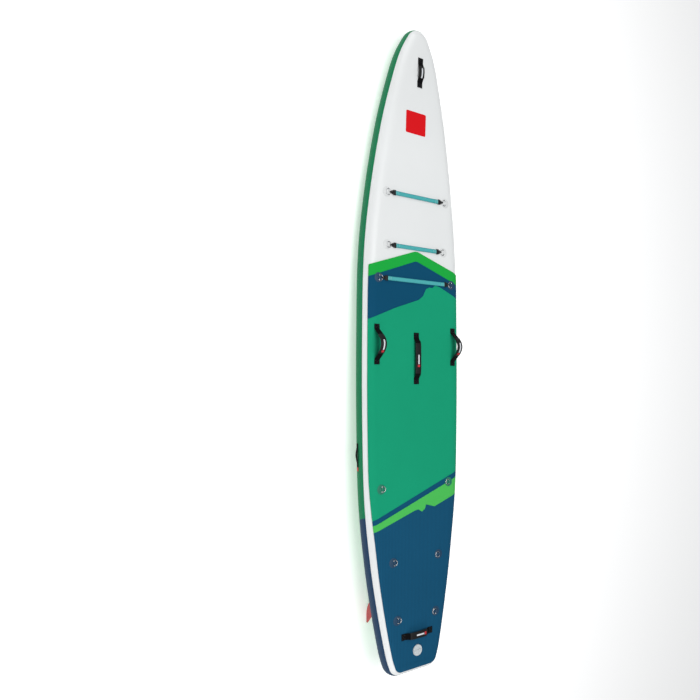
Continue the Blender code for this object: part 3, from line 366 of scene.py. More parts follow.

# %% [markdown]
# The fins are flexible plastic moulded in red, a little see-through, and thinner towards the tip, so the tips
# look lighter than the roots. A slow ramp down the fin mixes the two reds: the lighter red at the tip is
# painted light, standing in for the light that comes through the thinner plastic. Light also gets through
# the plastic by subsurface scattering with a little transmission.

# %% Fin plastic
fin_red, fin_tree, fin_shader = new_material(
    "translucent red urethane", Roughness=0.28, Subsurface_Weight=0.35, Subsurface_Scale=0.02,
    Transmission_Weight=0.12, IOR=1.5, Coat_Weight=0.2
)
fin_shader.inputs["Subsurface Radius"].default_value = (1.0, 0.25, 0.15)
fin_place = add(fin_tree, "ShaderNodeTexCoord").outputs["Object"]
fin_axes = add(fin_tree, "ShaderNodeSeparateXYZ", links={0: fin_place})
fin_down = add(fin_tree, "ShaderNodeMapRange", values={1: 0.15, 2: 0.0, 3: 0.0, 4: 1.0},
               links={0: fin_axes.outputs["Z"]})
# painted light: the tip's lighter red stands in for light coming through the thin plastic
fin_painted_light_ramp = add(fin_tree, "ShaderNodeMix", {"data_type": "RGBA"}, {6: linear("B01420"), 7: linear("D8434A")},
               {0: fin_down.outputs[0]})
fin_tree.links.new(fin_painted_light_ramp.outputs[2], fin_shader.inputs["Base Color"])
print("fin plastic", fin_red.name)

# %% [markdown]
# Next, the board's form. Seen from above, its outline is a rounded transom, a long smooth side and a blunt
# point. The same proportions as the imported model's are used, with more steps, so that the fabric looks as
# smooth as an inflated board does. The deck rises a little towards the nose, the thickness is even, and the
# rails are half round, because air pressure rounds every edge that the threads inside don't hold flat.

# %% The board's outline and its rise
LENGTH, WIDTH, THICKNESS = 4.013, 0.762, 0.150
HALF = LENGTH / 2
SIDE_SHARES = ((-0.922, 0.592), (-0.797, 0.724), (-0.648, 0.850), (-0.449, 0.961), (-0.199, 0.996), (0.050, 0.996),
               (0.299, 0.968), (0.498, 0.858), (0.698, 0.682), (0.847, 0.491), (0.922, 0.365))


def lift(x):
    """How far the deck is raised at x."""
    nose = max(0.0, x - (HALF - 1.80)) / 1.80
    tail = max(0.0, 1.20 - HALF - x) / 1.20
    return 0.060 * nose**2 + 0.012 * tail**2


def rail_radius(x):
    share = max(0.0, x - (HALF - 1.0))
    return (THICKNESS - 0.020 * share**2) / 2


def vee(x):
    """How far the bottom's centre line hangs below its edges."""
    share = (x - (HALF - 1.36)) / 1.29
    return 0.028 * math.sin(math.pi * share) ** 2 if 0 < share < 1 else 0.0


def arc(centre, radius, start, end, steps=10):
    angles = [math.radians(start + (end - start) * i / steps) for i in range(steps + 1)]
    outward = [Vector((math.cos(t), math.sin(t))) for t in angles]
    return [(Vector(centre) + radius * out, -out) for out in outward]


def smooth_run(points, steps):
    """A Catmull-Rom curve from the second point to the last but one."""
    curve = []
    for a, b, c, d in zip(points, points[1:], points[2:], points[3:]):
        for t in [i / steps for i in range(steps)]:
            curve.append(0.5 * (2 * b + (c - a) * t + (2 * a - 5 * b + 4 * c - d) * t**2
                                + (3 * b - a - 3 * c + d) * t**3))
    return curve


def outline():
    """[(point, inward normal)] from the middle of the tail, up the port side, to the tip of the nose."""
    tail = arc((0.085 - HALF, 0.115), 0.085, 180, 107)
    nose = arc((HALF - 0.095, 0), 0.095, 60, 0)
    knots = [Vector((x * HALF, y * WIDTH / 2)) for x, y in SIDE_SHARES]
    run = smooth_run([tail[-4][0], tail[-1][0], *knots, nose[0][0], nose[3][0]], 8)[1:]
    ends = [tail[-1][0], *run, nose[0][0]]
    side = []
    for before, point, after in zip(ends, run, ends[2:]):
        along = (after - before).normalized()
        side.append((point, Vector((along.y, -along.x))))
    return [(Vector((-HALF, 0)), Vector((1, 0))), *tail, *side, *nose]


OUTLINE = outline()
print("outline of", len(OUTLINE), "stations, widest", round(2 * max(p.y for p, _ in OUTLINE), 4))

# %% [markdown]
# A point of the envelope is named by its station on the outline and its angle round the rail: 0 degrees where
# the deck's flat ends, 90 at the widest, 180 where the bottom's flat begins. A sheet is then a grid whose
# rows are stations and whose columns run from one edge, over the middle, to the other edge. bmesh makes the
# grid, every vertex is moved to its place, and the vertices that meet at the nose and the tail are merged.

# %% Grids laid over the hull


def hull_point(station, angle, out=0.0):
    point, normal = station
    radius = rail_radius(point.x)
    turn = math.radians(angle)
    flat = point + normal * (radius - (radius + out) * math.sin(turn))
    return Vector((flat.x, flat.y, lift(flat.x) - radius + (radius + out) * math.cos(turn)))


def flat_half_width(x):
    """Half the width of the deck's flat part at x."""
    edges = [hull_point(station, 0) for station in OUTLINE]
    for a, b in zip(edges, edges[1:]):
        if a.x <= x <= b.x and b.x > a.x:
            return a.y + (b.y - a.y) * (x - a.x) / (b.x - a.x)
    return edges[-1].y


def laid_grid(columns, place):
    """A grid of one row per station. place(station, share) gives a point, its share running from -1 to 1."""
    shape = bmesh.new()
    rows = len(OUTLINE) - 1
    bmesh.ops.create_grid(shape, x_segments=rows, y_segments=columns, size=1.0)
    for vert in shape.verts:
        station = OUTLINE[round((vert.co.x + 1) / 2 * rows)]
        vert.co = place(station, vert.co.y)
    bmesh.ops.remove_doubles(shape, verts=shape.verts, dist=2e-6)
    bmesh.ops.recalc_face_normals(shape, faces=shape.faces)
    return shape


def mirrored_share(share, reach_point):
    """The point at a share from the centre line, on the port or the starboard side."""
    point = reach_point(abs(share))
    return Vector((point.x, math.copysign(point.y, share) if point.y > 1e-9 else 0.0, point.z))


def faces_up(shape, want=1):
    """Turns every face round if the sheet as a whole faces away from `want`, up or down."""
    if sum(face.normal.z * face.calc_area() for face in shape.faces) * want < 0:
        bmesh.ops.reverse_faces(shape, faces=shape.faces)


def add_piece(name, shape, material, body="board", place=None, flat_angle=35, stands_for=()):
    """Makes a piece of a bmesh drawn in the board's axes, or in a frame of its own, and lets it ride."""
    mesh = bpy.data.meshes.new(name)
    shape.to_mesh(mesh)
    shape.free()
    mesh.transform(REST @ (place or Matrix.Identity(4)))
    mesh.materials.append(material)
    mesh.shade_smooth()
    mesh.set_sharp_from_angle(angle=math.radians(flat_angle))
    piece = bpy.data.objects.new(name, mesh)
    bpy.context.scene.collection.objects.link(piece)
    if body:
        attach(piece, body)
    if stands_for:
        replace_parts(piece, *stands_for)
    return piece


def walled(piece, thickness, offset=-1.0):
    """Gives a sheet its thickness, inwards unless told otherwise."""
    wall = piece.modifiers.new("wall", "SOLIDIFY")
    wall.thickness = thickness
    wall.offset = offset
    wall.use_even_offset = True
    return piece


def settled(piece):
    """Replaces a piece's mesh with what its modifiers make."""
    bpy.context.view_layer.update()
    made = bpy.data.meshes.new_from_object(piece.evaluated_get(bpy.context.evaluated_depsgraph_get()))
    piece.modifiers.clear()
    piece.data = made
    return piece


print("hull helpers ready")

# %% [markdown]
# The deck's skin is one white sheet that runs over the flat and 70 degrees down each rail. The bottom is one
# green sheet, with a soft keel ridge towards the nose that helps the board to track. Both are a single layer
# with a Solidify wall, because the inside is never seen.

# %% Deck and bottom skins
SKIN = 0.0012


def deck_place(out, edge_angle):
    def place(station, share):
        def reach(s):
            edge = hull_point(station, 0, out)
            if s <= 0.5:
                return Vector((edge.x, edge.y * 2 * s, edge.z))
            return hull_point(station, edge_angle(station[0].x) * (2 * s - 1), out)

        return mirrored_share(share, reach)

    return place


def bottom_place(station, share):
    def reach(s):
        if s > 0.5:
            return hull_point(station, 180 - 52 * (2 * s - 1), 0)
        edge = hull_point(station, 180, 0)
        aside = math.hypot(2 * s, 0.09) - 0.09 * (1 - 2 * s)
        return Vector((edge.x, edge.y * 2 * s, edge.z - vee(edge.x) * max(0.0, 1 - aside)))

    return mirrored_share(share, reach)


deck_shape = laid_grid(36, deck_place(0.0, lambda x: 70.5))
faces_up(deck_shape)
deck = walled(
    add_piece("deck_fabric", deck_shape, white_skin, stands_for=["deck_skin"]), SKIN
)
bottom_shape = laid_grid(36, bottom_place)
faces_up(bottom_shape, -1)
bottom = walled(
    add_piece("bottom_fabric", bottom_shape, bottom_skin_green,
              stands_for=["bottom_skin"]), SKIN
)
print("skins", len(deck.data.polygons), len(bottom.data.polygons))

# %% [markdown]
# The rail tape laps over the edges of both skins, so its edges stand a little proud and catch the light. Each
# side is one grid along the outline, 10 strips tall, laid 0.4 mm outside the skins, with a thin wall outwards.
# Its upper edge rises a little towards both ends of the board.

# %% Rail tapes
TAPE = 0.0007


def rail_tape_piece(name, side):
    def place(station, share):
        top = 66.5 - 8 * abs(station[0].x / HALF) ** 2
        point = hull_point(station, 131.5 + (top - 131.5) * (1 - share) / 2, 0.0004)
        return Vector((point.x, side * point.y, point.z))

    shape = laid_grid(10, place)
    outwards = sum((face.normal.y * side + 0.01 * face.normal.x) * face.calc_area() for face in shape.faces)
    if outwards < 0:
        bmesh.ops.reverse_faces(shape, faces=shape.faces)
    return walled(add_piece(name, shape, rail_tape), TAPE, 1.0)


for side_name, side in (("port", 1), ("starboard", -1)):
    tape = rail_tape_piece("rail_tape_" + side_name, side)
    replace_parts(tape, "rail_" + side_name)
print("rail tapes laid")

# %% [markdown]
# The deck pads are 5 mm foam, cut along joints that cross the board. A grid is laid for each pad, from its
# after joint to its fore joint, with extra columns at the joints' corners so that they stay crisp. Solidify
# gives the foam its thickness and Bevel rolls its cut edges over, which is what makes the joints readable.
# The pads stop 40 degrees down the rail, or 30 at the tail, where a white margin of the deck's fabric shows.

# %% Deck pads


def pad_edge_angle(x):
    """How far down the rail the pads reach: a little less over the tail."""
    return 40 - 10 * min(1.0, max(0.0, (1.24 - HALF - x) / 0.38))


FRONT_OF_CHEVRON = ((0.500, 0.400), (0.628, 0.012), (0.628, -0.012), (0.500, -0.400))
BACK_OF_CHEVRON = ((0.429, 0.400), (0.566, 0.010), (0.566, -0.010), (0.429, -0.400))
RIDGE = ((0.172, 0.400), (0.270, 0.158), (0.330, -0.022), (0.357, -0.056), (0.403, -0.080), (0.415, -0.108),
         (0.414, -0.134), (0.434, -0.155), (0.420, -0.204), (0.338, -0.400))
FRONT_OF_STRIPE = ((-1.047, 0.400), (-0.744, -0.400))
BACK_OF_STRIPE = ((-1.078, 0.400), (-0.782, -0.400))
BACK_OF_BAND = ((-1.117, 0.400), (-0.988, 0.010), (-0.984, -0.018), (-1.001, -0.047), (-0.987, -0.070),
                (-0.959, -0.080), (-0.979, -0.150), (-0.963, -0.196), (-0.891, -0.400))
PADS = (("pad_chevron", FRONT_OF_CHEVRON, BACK_OF_CHEVRON, "foam_lime"),
        ("pad_front", BACK_OF_CHEVRON, RIDGE, "foam_navy"),
        ("pad_main", RIDGE, FRONT_OF_STRIPE, "foam_teal"),
        ("pad_stripe", FRONT_OF_STRIPE, BACK_OF_STRIPE, "foam_navy"),
        ("pad_band", BACK_OF_STRIPE, BACK_OF_BAND, "foam_lime"),
        ("pad_tail", BACK_OF_BAND, None, "foam_navy"))


def joint_x(line, y):
    """Where a joint's line across the board is, at y."""
    for (xa, ya), (xb, yb) in zip(line, line[1:]):
        if ya >= y >= yb:
            return xa + (xb - xa) * (ya - y) / (ya - yb)
    return line[0][0] if y > 0 else line[-1][0]


def run_along(place, share, rows):
    """The curve that a share of the deck's width follows from tail to nose, as a function of the station."""

    def at(t):
        i = min(int(t), rows - 1)
        return place(OUTLINE[i], share).lerp(place(OUTLINE[i + 1], share), t - i)

    return at


def crossing(at, line, rows):
    """The station at which a run along the board crosses a joint, by halving."""
    low, high = 0.0, float(rows)
    for _ in range(40):
        middle = (low + high) / 2
        point = at(middle)
        if point.x < joint_x(line, point.y):
            low = middle
        else:
            high = middle
    return (low + high) / 2


def column_shares(lines, columns):
    """Evenly spaced shares of the width, with the nearest one moved to each corner of the joints."""
    shares = [2 * i / columns - 1 for i in range(columns + 1)]
    for line in lines:
        for x, y in line[1:-1]:
            corner = 0.5 * y / flat_half_width(x)
            if abs(corner) < 0.5:
                nearest = min(range(1, columns), key=lambda i: abs(shares[i] - corner))
                shares[nearest] = corner
    return sorted(shares)


def pad_piece(name, front, behind):
    rows = len(OUTLINE) - 1
    place = deck_place(PAD_TOP, pad_edge_angle)
    lines = [line for line in (front, behind) if line]
    columns = 88
    shares = column_shares(lines, columns)
    ends = []
    for share in shares:
        at = run_along(place, share, rows)
        back_station = crossing(at, behind, rows) if behind else 0.0
        ends.append((at, back_station, crossing(at, front, rows)))
    length = max(at(ahead).x - at(back).x for at, back, ahead in ends)
    steps = max(3, round(length / 0.018))
    shape = bmesh.new()
    bmesh.ops.create_grid(shape, x_segments=steps, y_segments=columns, size=1.0)
    for vert in shape.verts:
        at, back, ahead = ends[round((vert.co.y + 1) / 2 * columns)]
        vert.co = at(back + (ahead - back) * (vert.co.x + 1) / 2)
    bmesh.ops.remove_doubles(shape, verts=shape.verts, dist=2e-6)
    bmesh.ops.recalc_face_normals(shape, faces=shape.faces)
    faces_up(shape)
    piece = add_piece("foam_" + name, shape, PAD_FOAMS[name])
    walled(piece, 0.005)
    rolled = piece.modifiers.new("rolled edge", "BEVEL")
    rolled.width = 0.0016
    rolled.segments = 3
    rolled.limit_method = "ANGLE"
    rolled.angle_limit = math.radians(60)
    rolled.use_clamp_overlap = False
    return piece


for pad_name, pad_fore, pad_aft, pad_slot in PADS:
    pad = pad_piece(pad_name, pad_fore, pad_aft)
    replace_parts(pad, pad_name)
    print(pad.name, len(pad.data.polygons), "faces")

# %% [markdown]
# Small things sit on the deck in frames of their own, with Z out of the deck and X to the nose. Where the
# deck rises towards the nose, the frame tips with it. The rings' places along and across the board repeat
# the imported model's.

# %% Places on the deck and the bottom


def on_deck(x, y, out=0.0):
    slope = (lift(x + 0.01) - lift(x - 0.01)) / 0.02
    return (Matrix.Translation((x, y, lift(x))) @ Matrix.Rotation(-math.atan(slope), 4, "Y")
            @ Matrix.Translation((0, 0, out)))


def on_bottom(x, y):
    return on_deck(x, y, -THICKNESS) @ Matrix.Diagonal((1, -1, -1, 1))


GAP = 0.0003
SIDES = (("port", 1), ("starboard", -1))
RING_HEIGHT = 0.0056
LOOSE_RINGS = (("mid", -0.8315, 0.027), ("aft", -1.2875, 0.070), ("tail", -1.6445, 0.039))
STRAP_RINGS = (("front", 0.966, 0.024, False), ("middle", 0.648, 0.067, False), ("rear", 0.443, 0.012, True))


def ring_seat(x, inset, side, on_pad):
    """The frame of a ring's patch: its Y points inboard."""
    base = on_deck(x, side * (flat_half_width(x) - inset), (PAD_TOP if on_pad else 0) + GAP)
    return base @ Matrix.Rotation(math.pi if side > 0 else 0, 4, "Z")


print("flat half width at the middle", round(flat_half_width(0), 4))

# %% [markdown]
# Wire, thread and elastic cord are all tubes along a path. A tube is a grid too: its rows follow the path and
# its columns go round it. A frame is carried along the path so that the tube never twists, and the seam
# is merged. A closed path's last row is merged with its first, and an open tube's ends are filled.

# %% A tube along a path


def carried_frames(path, closed):
    """[(point, two unit vectors across the path)], turned as little as possible from one to the next."""
    count = len(path)
    frames, side = [], None
    for i, point in enumerate(path):
        ahead = path[(i + 1) % count] if closed or i + 1 < count else point
        behind = path[i - 1] if closed or i else point
        along = (ahead - behind).normalized()
        if side is None:
            start = Vector((0, 0, 1)) if abs(along.z) < 0.9 else Vector((0, 1, 0))
            side = along.cross(start).normalized()
        side = (side - along * side.dot(along)).normalized()
        frames.append((point, side, along.cross(side)))
    return frames


def tube(path, radius, closed=False, around=12):
    """A tube in a bmesh. radius is a number, or a function of the share of the path."""
    path = [Vector(p) for p in path]
    frames = carried_frames(path, closed)
    rows = len(path) if closed else len(path) - 1
    shape = bmesh.new()
    bmesh.ops.create_grid(shape, x_segments=rows, y_segments=around, size=1.0)
    for vert in shape.verts:
        row = round((vert.co.x + 1) / 2 * rows)
        turn = math.pi * (vert.co.y + 1)
        wide = radius(row / rows) if callable(radius) else radius
        point, side, up = frames[row % len(frames)]
        vert.co = point + wide * (math.cos(turn) * side + math.sin(turn) * up)
    bmesh.ops.remove_doubles(shape, verts=shape.verts, dist=1e-6)
    if not closed:
        bmesh.ops.holes_fill(shape, edges=[e for e in shape.edges if e.is_boundary], sides=0)
    bmesh.ops.recalc_face_normals(shape, faces=shape.faces)
    return shape


def joined(shapes):
    """One bmesh of several."""
    whole = bmesh.new()
    for shape in shapes:
        part = bpy.data.meshes.new("part")
        shape.to_mesh(part)
        shape.free()
        whole.from_mesh(part)
        bpy.data.meshes.remove(part)
    return whole


print("tube helper ready")

# %% [markdown]
# The D-rings are 4.5 mm stainless wire, bent to a D and welded where the patch hides it. Each loose ring turns
# on its straight side inside its webbing loop, so it rides its own body. The six that hold the cargo straps
# are pulled flat by them and ride the board.

# %% D-rings
WIRE = 0.00225
RING_HALF, RING_REACH, RING_CORNER = 0.01775, 0.0265, 0.007


def ring_path():
    corner = [(RING_HALF - RING_CORNER * (1 - math.sin(t)), RING_CORNER * (1 - math.cos(t)))
              for t in [math.radians(15 * i) for i in range(7)]]
    bow = [(RING_HALF * math.cos(t), RING_CORNER + (RING_REACH - RING_CORNER) * math.sin(t))
           for t in [math.radians(7.5 * i) for i in range(1, 24)]]
    corner_back = [(-x, y) for x, y in reversed(corner)]
    return [Vector((x, y, 0)) for x, y in [*corner, *bow, *corner_back]]


def add_ring(place_name, seat, body):
    ring = tube(ring_path(), WIRE, closed=True, around=16)
    name = "d_ring_" + place_name
    add_piece("ring_" + place_name, ring, steel_wire, body, seat @ Matrix.Translation((0, 0, RING_HEIGHT)),
              stands_for=[name])


seats = {}
for ring_name, ring_x, ring_inset in LOOSE_RINGS:
    for side_name, side in SIDES:
        full_name = ring_name + "_" + side_name
        seats[full_name] = ring_seat(ring_x, ring_inset, side, True)
        add_ring(full_name, seats[full_name], "d_ring_" + full_name)
for ring_name, ring_x, ring_inset, on_pad in STRAP_RINGS:
    for side_name, side in SIDES:
        full_name = ring_name + "_" + side_name
        seats[full_name] = ring_seat(ring_x, ring_inset, side, on_pad)
        add_ring(full_name, seats[full_name], "board")
print(len(seats), "rings")

# %% [markdown]
# Each ring is held by a patch: a disc of coated fabric glued to the deck, with a short length of webbing
# arched over the ring's straight side and stitched down on both sides of it. The disc is a turned profile
# with a thin rolled edge. The arch is a strip of webbing whose path goes round the wire.

# %% A strip of webbing along a path


def strip(path, width, columns=8, swell=None):
    """A grid in the X-Z plane's path, its width along Y, that carries how far along and across each vertex is.

    swell(share along) gives the width as a share of `width`.
    """
    path = [Vector(p) for p in path]
    reach = [0.0]
    for a, b in zip(path, path[1:]):
        reach.append(reach[-1] + (b - a).length)
    rows = len(path) - 1
    shape = bmesh.new()
    bmesh.ops.create_grid(shape, x_segments=rows, y_segments=columns, size=1.0)
    along = shape.verts.layers.float.new("along")
    across = shape.verts.layers.float.new("across")
    for vert in shape.verts:
        row = round((vert.co.x + 1) / 2 * rows)
        wide = width * (swell(row / rows) if swell else 1.0)
        y = vert.co.y * wide / 2
        vert[along] = reach[row] - reach[-1] / 2
        vert[across] = y
        vert.co = path[row] + Vector((0, y, 0))
    return shape


def smooth_path(points, steps=6):
    """A curve through (x, z) points, as points of the X-Z plane."""
    points = [Vector((x, 0, z)) for x, z in points]
    ends = [2 * points[0] - points[1], *points, 2 * points[-1] - points[-2]]
    return [*smooth_run(ends, steps), points[-1]]


def stitches(rows, length=0.0035, gap=0.0025, radius=0.0004):
    """Dashes of thread along each row, given as (start, end) points."""
    dashes = []
    for start, end in rows:
        start, end = Vector(start), Vector(end)
        span = (end - start).length
        along = (end - start).normalized()
        count = int((span + gap) / (length + gap))
        for i in range(count):
            a = start + along * (i * (length + gap) + (span - count * (length + gap) + gap) / 2)
            lift_up = Vector((0, 0, radius * 0.8))
            dashes.append(tube([a - lift_up, a + along * length * 0.25 + lift_up,
                                a + along * length * 0.75 + lift_up, a + along * length - lift_up], radius, around=5))
    return joined(dashes)


print("webbing helpers ready")

# %% Ring patches
PATCH_RADIUS = 0.030
PATCH_LOOKS = {"front": white_patch, "middle": white_patch, "rear": navy_patch, "mid": green_patch,
               "aft": navy_patch, "tail": navy_patch}


def patch_disc():
    profile = [(0.0001, 0.0012), (PATCH_RADIUS - 0.0012, 0.0012), (PATCH_RADIUS - 0.0004, 0.0009),
               (PATCH_RADIUS, 0.0004), (PATCH_RADIUS, 0.0)]
    shape = bmesh.new()
    verts = [shape.verts.new((r, 0, z)) for r, z in profile]
    edges = [shape.edges.new(pair) for pair in zip(verts, verts[1:])]
    bmesh.ops.spin(shape, geom=[*verts, *edges], cent=(0, 0, 0), axis=(0, 0, 1), angle=2 * math.pi, steps=48,
                   use_merge=True)
    bmesh.ops.remove_doubles(shape, verts=shape.verts, dist=3e-4)
    bmesh.ops.holes_fill(shape, edges=[e for e in shape.edges if e.is_boundary], sides=0)
    bmesh.ops.recalc_face_normals(shape, faces=shape.faces)
    return shape


def loop_strip():
    """Webbing over the ring's straight side, in the ring's frame but with its path in the X-Z plane."""
    crown = WIRE + 0.0013 + 0.0012
    arch = [(crown * math.cos(t), RING_HEIGHT + crown * math.sin(t)) for t in
            [math.radians(180 - 15 * i) for i in range(13)]]
    feet = [(-0.013, 0.0019), (-0.0085, 0.0020), (-0.0050, 0.0030)]
    return strip(smooth_path([*feet, *arch, *[(-x, z) for x, z in reversed(feet)]], 3), 0.021, 8)


QUARTER = Matrix.Rotation(math.pi / 2, 4, "Z")
for full_name, seat in seats.items():
    look = PATCH_LOOKS[full_name.split("_")[0]]
    disc = add_piece("patch_" + full_name, patch_disc(), look, place=seat)
    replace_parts(disc, "ring_patch_" + full_name)
    loop = add_piece("loop_" + full_name, loop_strip(), look, place=seat @ QUARTER)
    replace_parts(walled(loop, 0.0014, 0.0), "ring_patch_" + full_name)
print("patches and loops", len(seats))

# %% [markdown]
# Three elastic straps cross the foredeck to hold luggage down. Each is a band of woven elastic, folded back
# over itself at both ends and sewn, with a moulded hook that drops over a ring's bow. The hook's outline is
# drawn from the side as a few points, raised to its width and bevelled, and its bar is a rounded block.

# %% Cargo straps and their hooks


def rolled_edges(piece, width, segments=2, angle=50):
    rolled = piece.modifiers.new("rolled edge", "BEVEL")
    rolled.width = width
    rolled.segments = segments
    rolled.limit_method = "ANGLE"
    rolled.angle_limit = math.radians(angle)
    return piece


def rounded_block(size, middle, bevel, segments=3):
    shape = bmesh.new()
    bmesh.ops.create_cube(shape, size=1.0)
    bmesh.ops.scale(shape, vec=size, verts=shape.verts)
    bmesh.ops.translate(shape, vec=middle, verts=shape.verts)
    bmesh.ops.bevel(shape, geom=shape.edges[:], offset=bevel, segments=segments, profile=0.5, affect="EDGES",
                    material=-1)
    return shape


def raised_outline(outline, width, bevel):
    """A flat outline in the X-Z plane, raised to a width along Y, with its long edges bevelled."""
    shape = bmesh.new()
    face = shape.faces.new([shape.verts.new((x, -width / 2, z)) for x, z in outline])
    raised = bmesh.ops.extrude_face_region(shape, geom=[face])
    far = [v for v in raised["geom"] if isinstance(v, bmesh.types.BMVert)]
    bmesh.ops.translate(shape, verts=far, vec=(0, width, 0))
    bmesh.ops.recalc_face_normals(shape, faces=shape.faces)
    rim = [e for e in shape.edges if abs(e.verts[0].co.y - e.verts[1].co.y) < 1e-6]
    bmesh.ops.bevel(shape, geom=rim, offset=bevel, segments=2, profile=0.5, affect="EDGES", material=-1)
    return shape


def hook_shape():
    """A hook whose mouth is round the origin: +X is outboard, and the band comes in from -X."""
    inner, outer = WIRE + 0.0011, WIRE + 0.0037
    inside = [math.radians(t) for t in range(204, -37, -12)]
    outside = [math.radians(t) for t in range(-36, 121, 12)]
    outline = [(-0.022, -0.0016), *[(inner * math.cos(t), inner * math.sin(t)) for t in inside],
               *[(outer * math.cos(t), outer * math.sin(t)) for t in outside], (-outer - 0.003, 0.0024),
               (-0.022, 0.0024)]
    bar = rounded_block((0.019, 0.0315, 0.0064), (-0.0280, 0, 0.0006), 0.0016)
    cheeks = [rounded_block((0.014, 0.0045, 0.0050), (-0.0135, y, 0.0004), 0.0012) for y in (-0.0085, 0.0085)]
    return joined([raised_outline(outline, 0.0100, 0.0005), bar, *cheeks])


def cargo_strap(name, x, inset, on_pad):
    bow = flat_half_width(x) - inset - RING_REACH
    level = on_deck(x, 0, (PAD_TOP if on_pad else 0) + GAP + RING_HEIGHT) @ QUARTER
    half = bow - 0.031
    path = [Vector((-half + 2 * half * i / 80, 0, 0)) for i in range(81)]
    pieces = [add_piece("elastic_" + name, strip(path, 0.025), turquoise_elastic, place=level)]
    for side_name, side in SIDES:
        outboard = level @ (Matrix.Identity(4) if side > 0 else Matrix.Rotation(math.pi, 4, "Z"))
        fold_path = smooth_path([(half - 0.036, 0.0012), (half - 0.030, 0.0021), (half - 0.012, 0.0022),
                                 (half, 0.0021)], 4)
        pieces.append(add_piece(f"elastic_fold_{name}_{side_name}", strip(fold_path, 0.0246), turquoise_elastic,
                                place=outboard))
        hook = add_piece(f"hook_{name}_{side_name}", hook_shape(), black_plastic,
                         place=outboard @ Matrix.Translation((bow, 0, 0)))
        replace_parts(hook, "cargo_strap_" + name)
        rows = [((half - d, -0.0105, 0.0033), (half - d, 0.0105, 0.0033)) for d in (0.030, 0.026, 0.013, 0.009)]
        thread = add_piece(f"strap_stitches_{name}_{side_name}", stitches(rows), white_thread, place=outboard)
        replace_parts(thread, "cargo_strap_" + name)
    for band in pieces:
        rolled_edges(walled(band, 0.0019, 0.0), 0.0005)
        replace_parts(band, "cargo_strap_" + name)


for strap_name, strap_x, strap_inset, strap_on_pad in STRAP_RINGS:
    cargo_strap(strap_name, strap_x, strap_inset, strap_on_pad)
print("cargo straps", len(STRAP_RINGS))

# %% [markdown]
# The handles are 38 mm nylon webbing. The low ones, at the nose, the middle and the tail, are sewn to the
# deck flat at both ends, and their middle stands off in a padded neoprene sleeve. The webbing is one strip
# from end to end, so it bends without a joint. The sleeve is a tube with a flat oval section round the same
# path, closed at its ends.

# %% Padded sleeve


def sleeve(path, width, thickness, start, end, columns=28):
    """A padded sleeve round a path in the X-Z plane between two shares of its length."""
    path = [Vector(p) for p in path]
    reach = [0.0]
    for a, b in zip(path, path[1:]):
        reach.append(reach[-1] + (b - a).length)
    kept = [(p, r - reach[-1] / 2) for p, r in zip(path, reach) if start * reach[-1] <= r <= end * reach[-1]]
    rows = len(kept) - 1
    shape = bmesh.new()
    bmesh.ops.create_grid(shape, x_segments=rows, y_segments=columns, size=1.0)
    layers = {key: shape.verts.layers.float.new(key) for key in ("along", "across", "top")}
    for vert in shape.verts:
        row = round((vert.co.x + 1) / 2 * rows)
        turn = math.pi * vert.co.y - math.pi / 2
        point, distance = kept[row]
        ahead = (kept[min(row + 1, rows)][0] - kept[max(row - 1, 0)][0]).normalized()
        out = Vector((-ahead.z, 0, ahead.x))
        from_end = min(row, rows - row) / 3
        plump = math.sqrt(max(0.0, 1 - (1 - min(1.0, from_end)) ** 2)) * 0.45 + 0.55
        y = math.copysign(abs(math.cos(turn)) ** 0.55, math.cos(turn)) * width / 2
        up = math.copysign(abs(math.sin(turn)) ** 0.8, math.sin(turn)) * thickness / 2 * plump
        vert[layers["along"]] = distance
        vert[layers["across"]] = y
        vert[layers["top"]] = 1.0 if up > 0 else 0.0
        vert.co = point + Vector((0, y, 0)) + out * up
    bmesh.ops.remove_doubles(shape, verts=shape.verts, dist=1e-6)
    bmesh.ops.holes_fill(shape, edges=[e for e in shape.edges if e.is_boundary], sides=0)
    bmesh.ops.recalc_face_normals(shape, faces=shape.faces)
    return shape


def box_stitch(near, far, half_width, height):
    """Two rows across and two along, a little in from the edges of a sewn-down end, with a cross inside."""
    corners = [(near, -half_width, height), (near, half_width, height), (far, half_width, height),
               (far, -half_width, height)]
    ring = list(zip(corners, corners[1:] + corners[:1]))
    return stitches([*ring, (corners[0], corners[2]), (corners[1], corners[3])])


print("sleeve helper ready")

# %% Low handles
TAB = 0.034


def low_handle(name, length, width, height, place, grip_share):
    half, middle, top = length / 2, 0.0018, height - 0.004
    side_points = [(-half, middle), (-half + TAB * 0.55, middle), (-half + TAB, middle + 0.0006),
                   (-half + TAB + 0.016, (middle + top) / 2), (-half + TAB + 0.032, top - 0.0012)]
    path = smooth_path([*side_points, (0, top + 0.001), *[(-x, z) for x, z in reversed(side_points)]], 8)
    band = strip(path, width)
    webbing_piece = add_piece("webbing_" + name, band, black_webbing, place=place)
    rolled_edges(walled(webbing_piece, 0.0028, 0.0), 0.0008)
    grip = add_piece("grip_" + name, sleeve(path, width + 0.003, 0.0105, *grip_share), grip_material, place=place,
                     flat_angle=60)
    pieces = [webbing_piece, grip]
    for end, sign in (("fore", 1), ("aft", -1)):
        thread = box_stitch(sign * (half - 0.005), sign * (half - TAB + 0.009), width / 2 - 0.005, 0.0034)
        pieces.append(add_piece(f"stitches_{name}_{end}", thread, dark_thread, place=place))
    for piece in pieces:
        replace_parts(piece, "handle_" + name)


low_handle("centre", 0.321, 0.040, 0.026, on_deck(-0.038, 0, PAD_TOP + GAP), (0.20, 0.80))
low_handle("nose", 0.180, 0.038, 0.022, on_deck(HALF - 0.274, 0, 2 * GAP), (0.30, 0.70))
low_handle("tail", 0.245, 0.040, 0.026, on_deck(0.252 - HALF, 0, PAD_TOP + GAP) @ QUARTER, (0.24, 0.76))
print("low handles", 3)
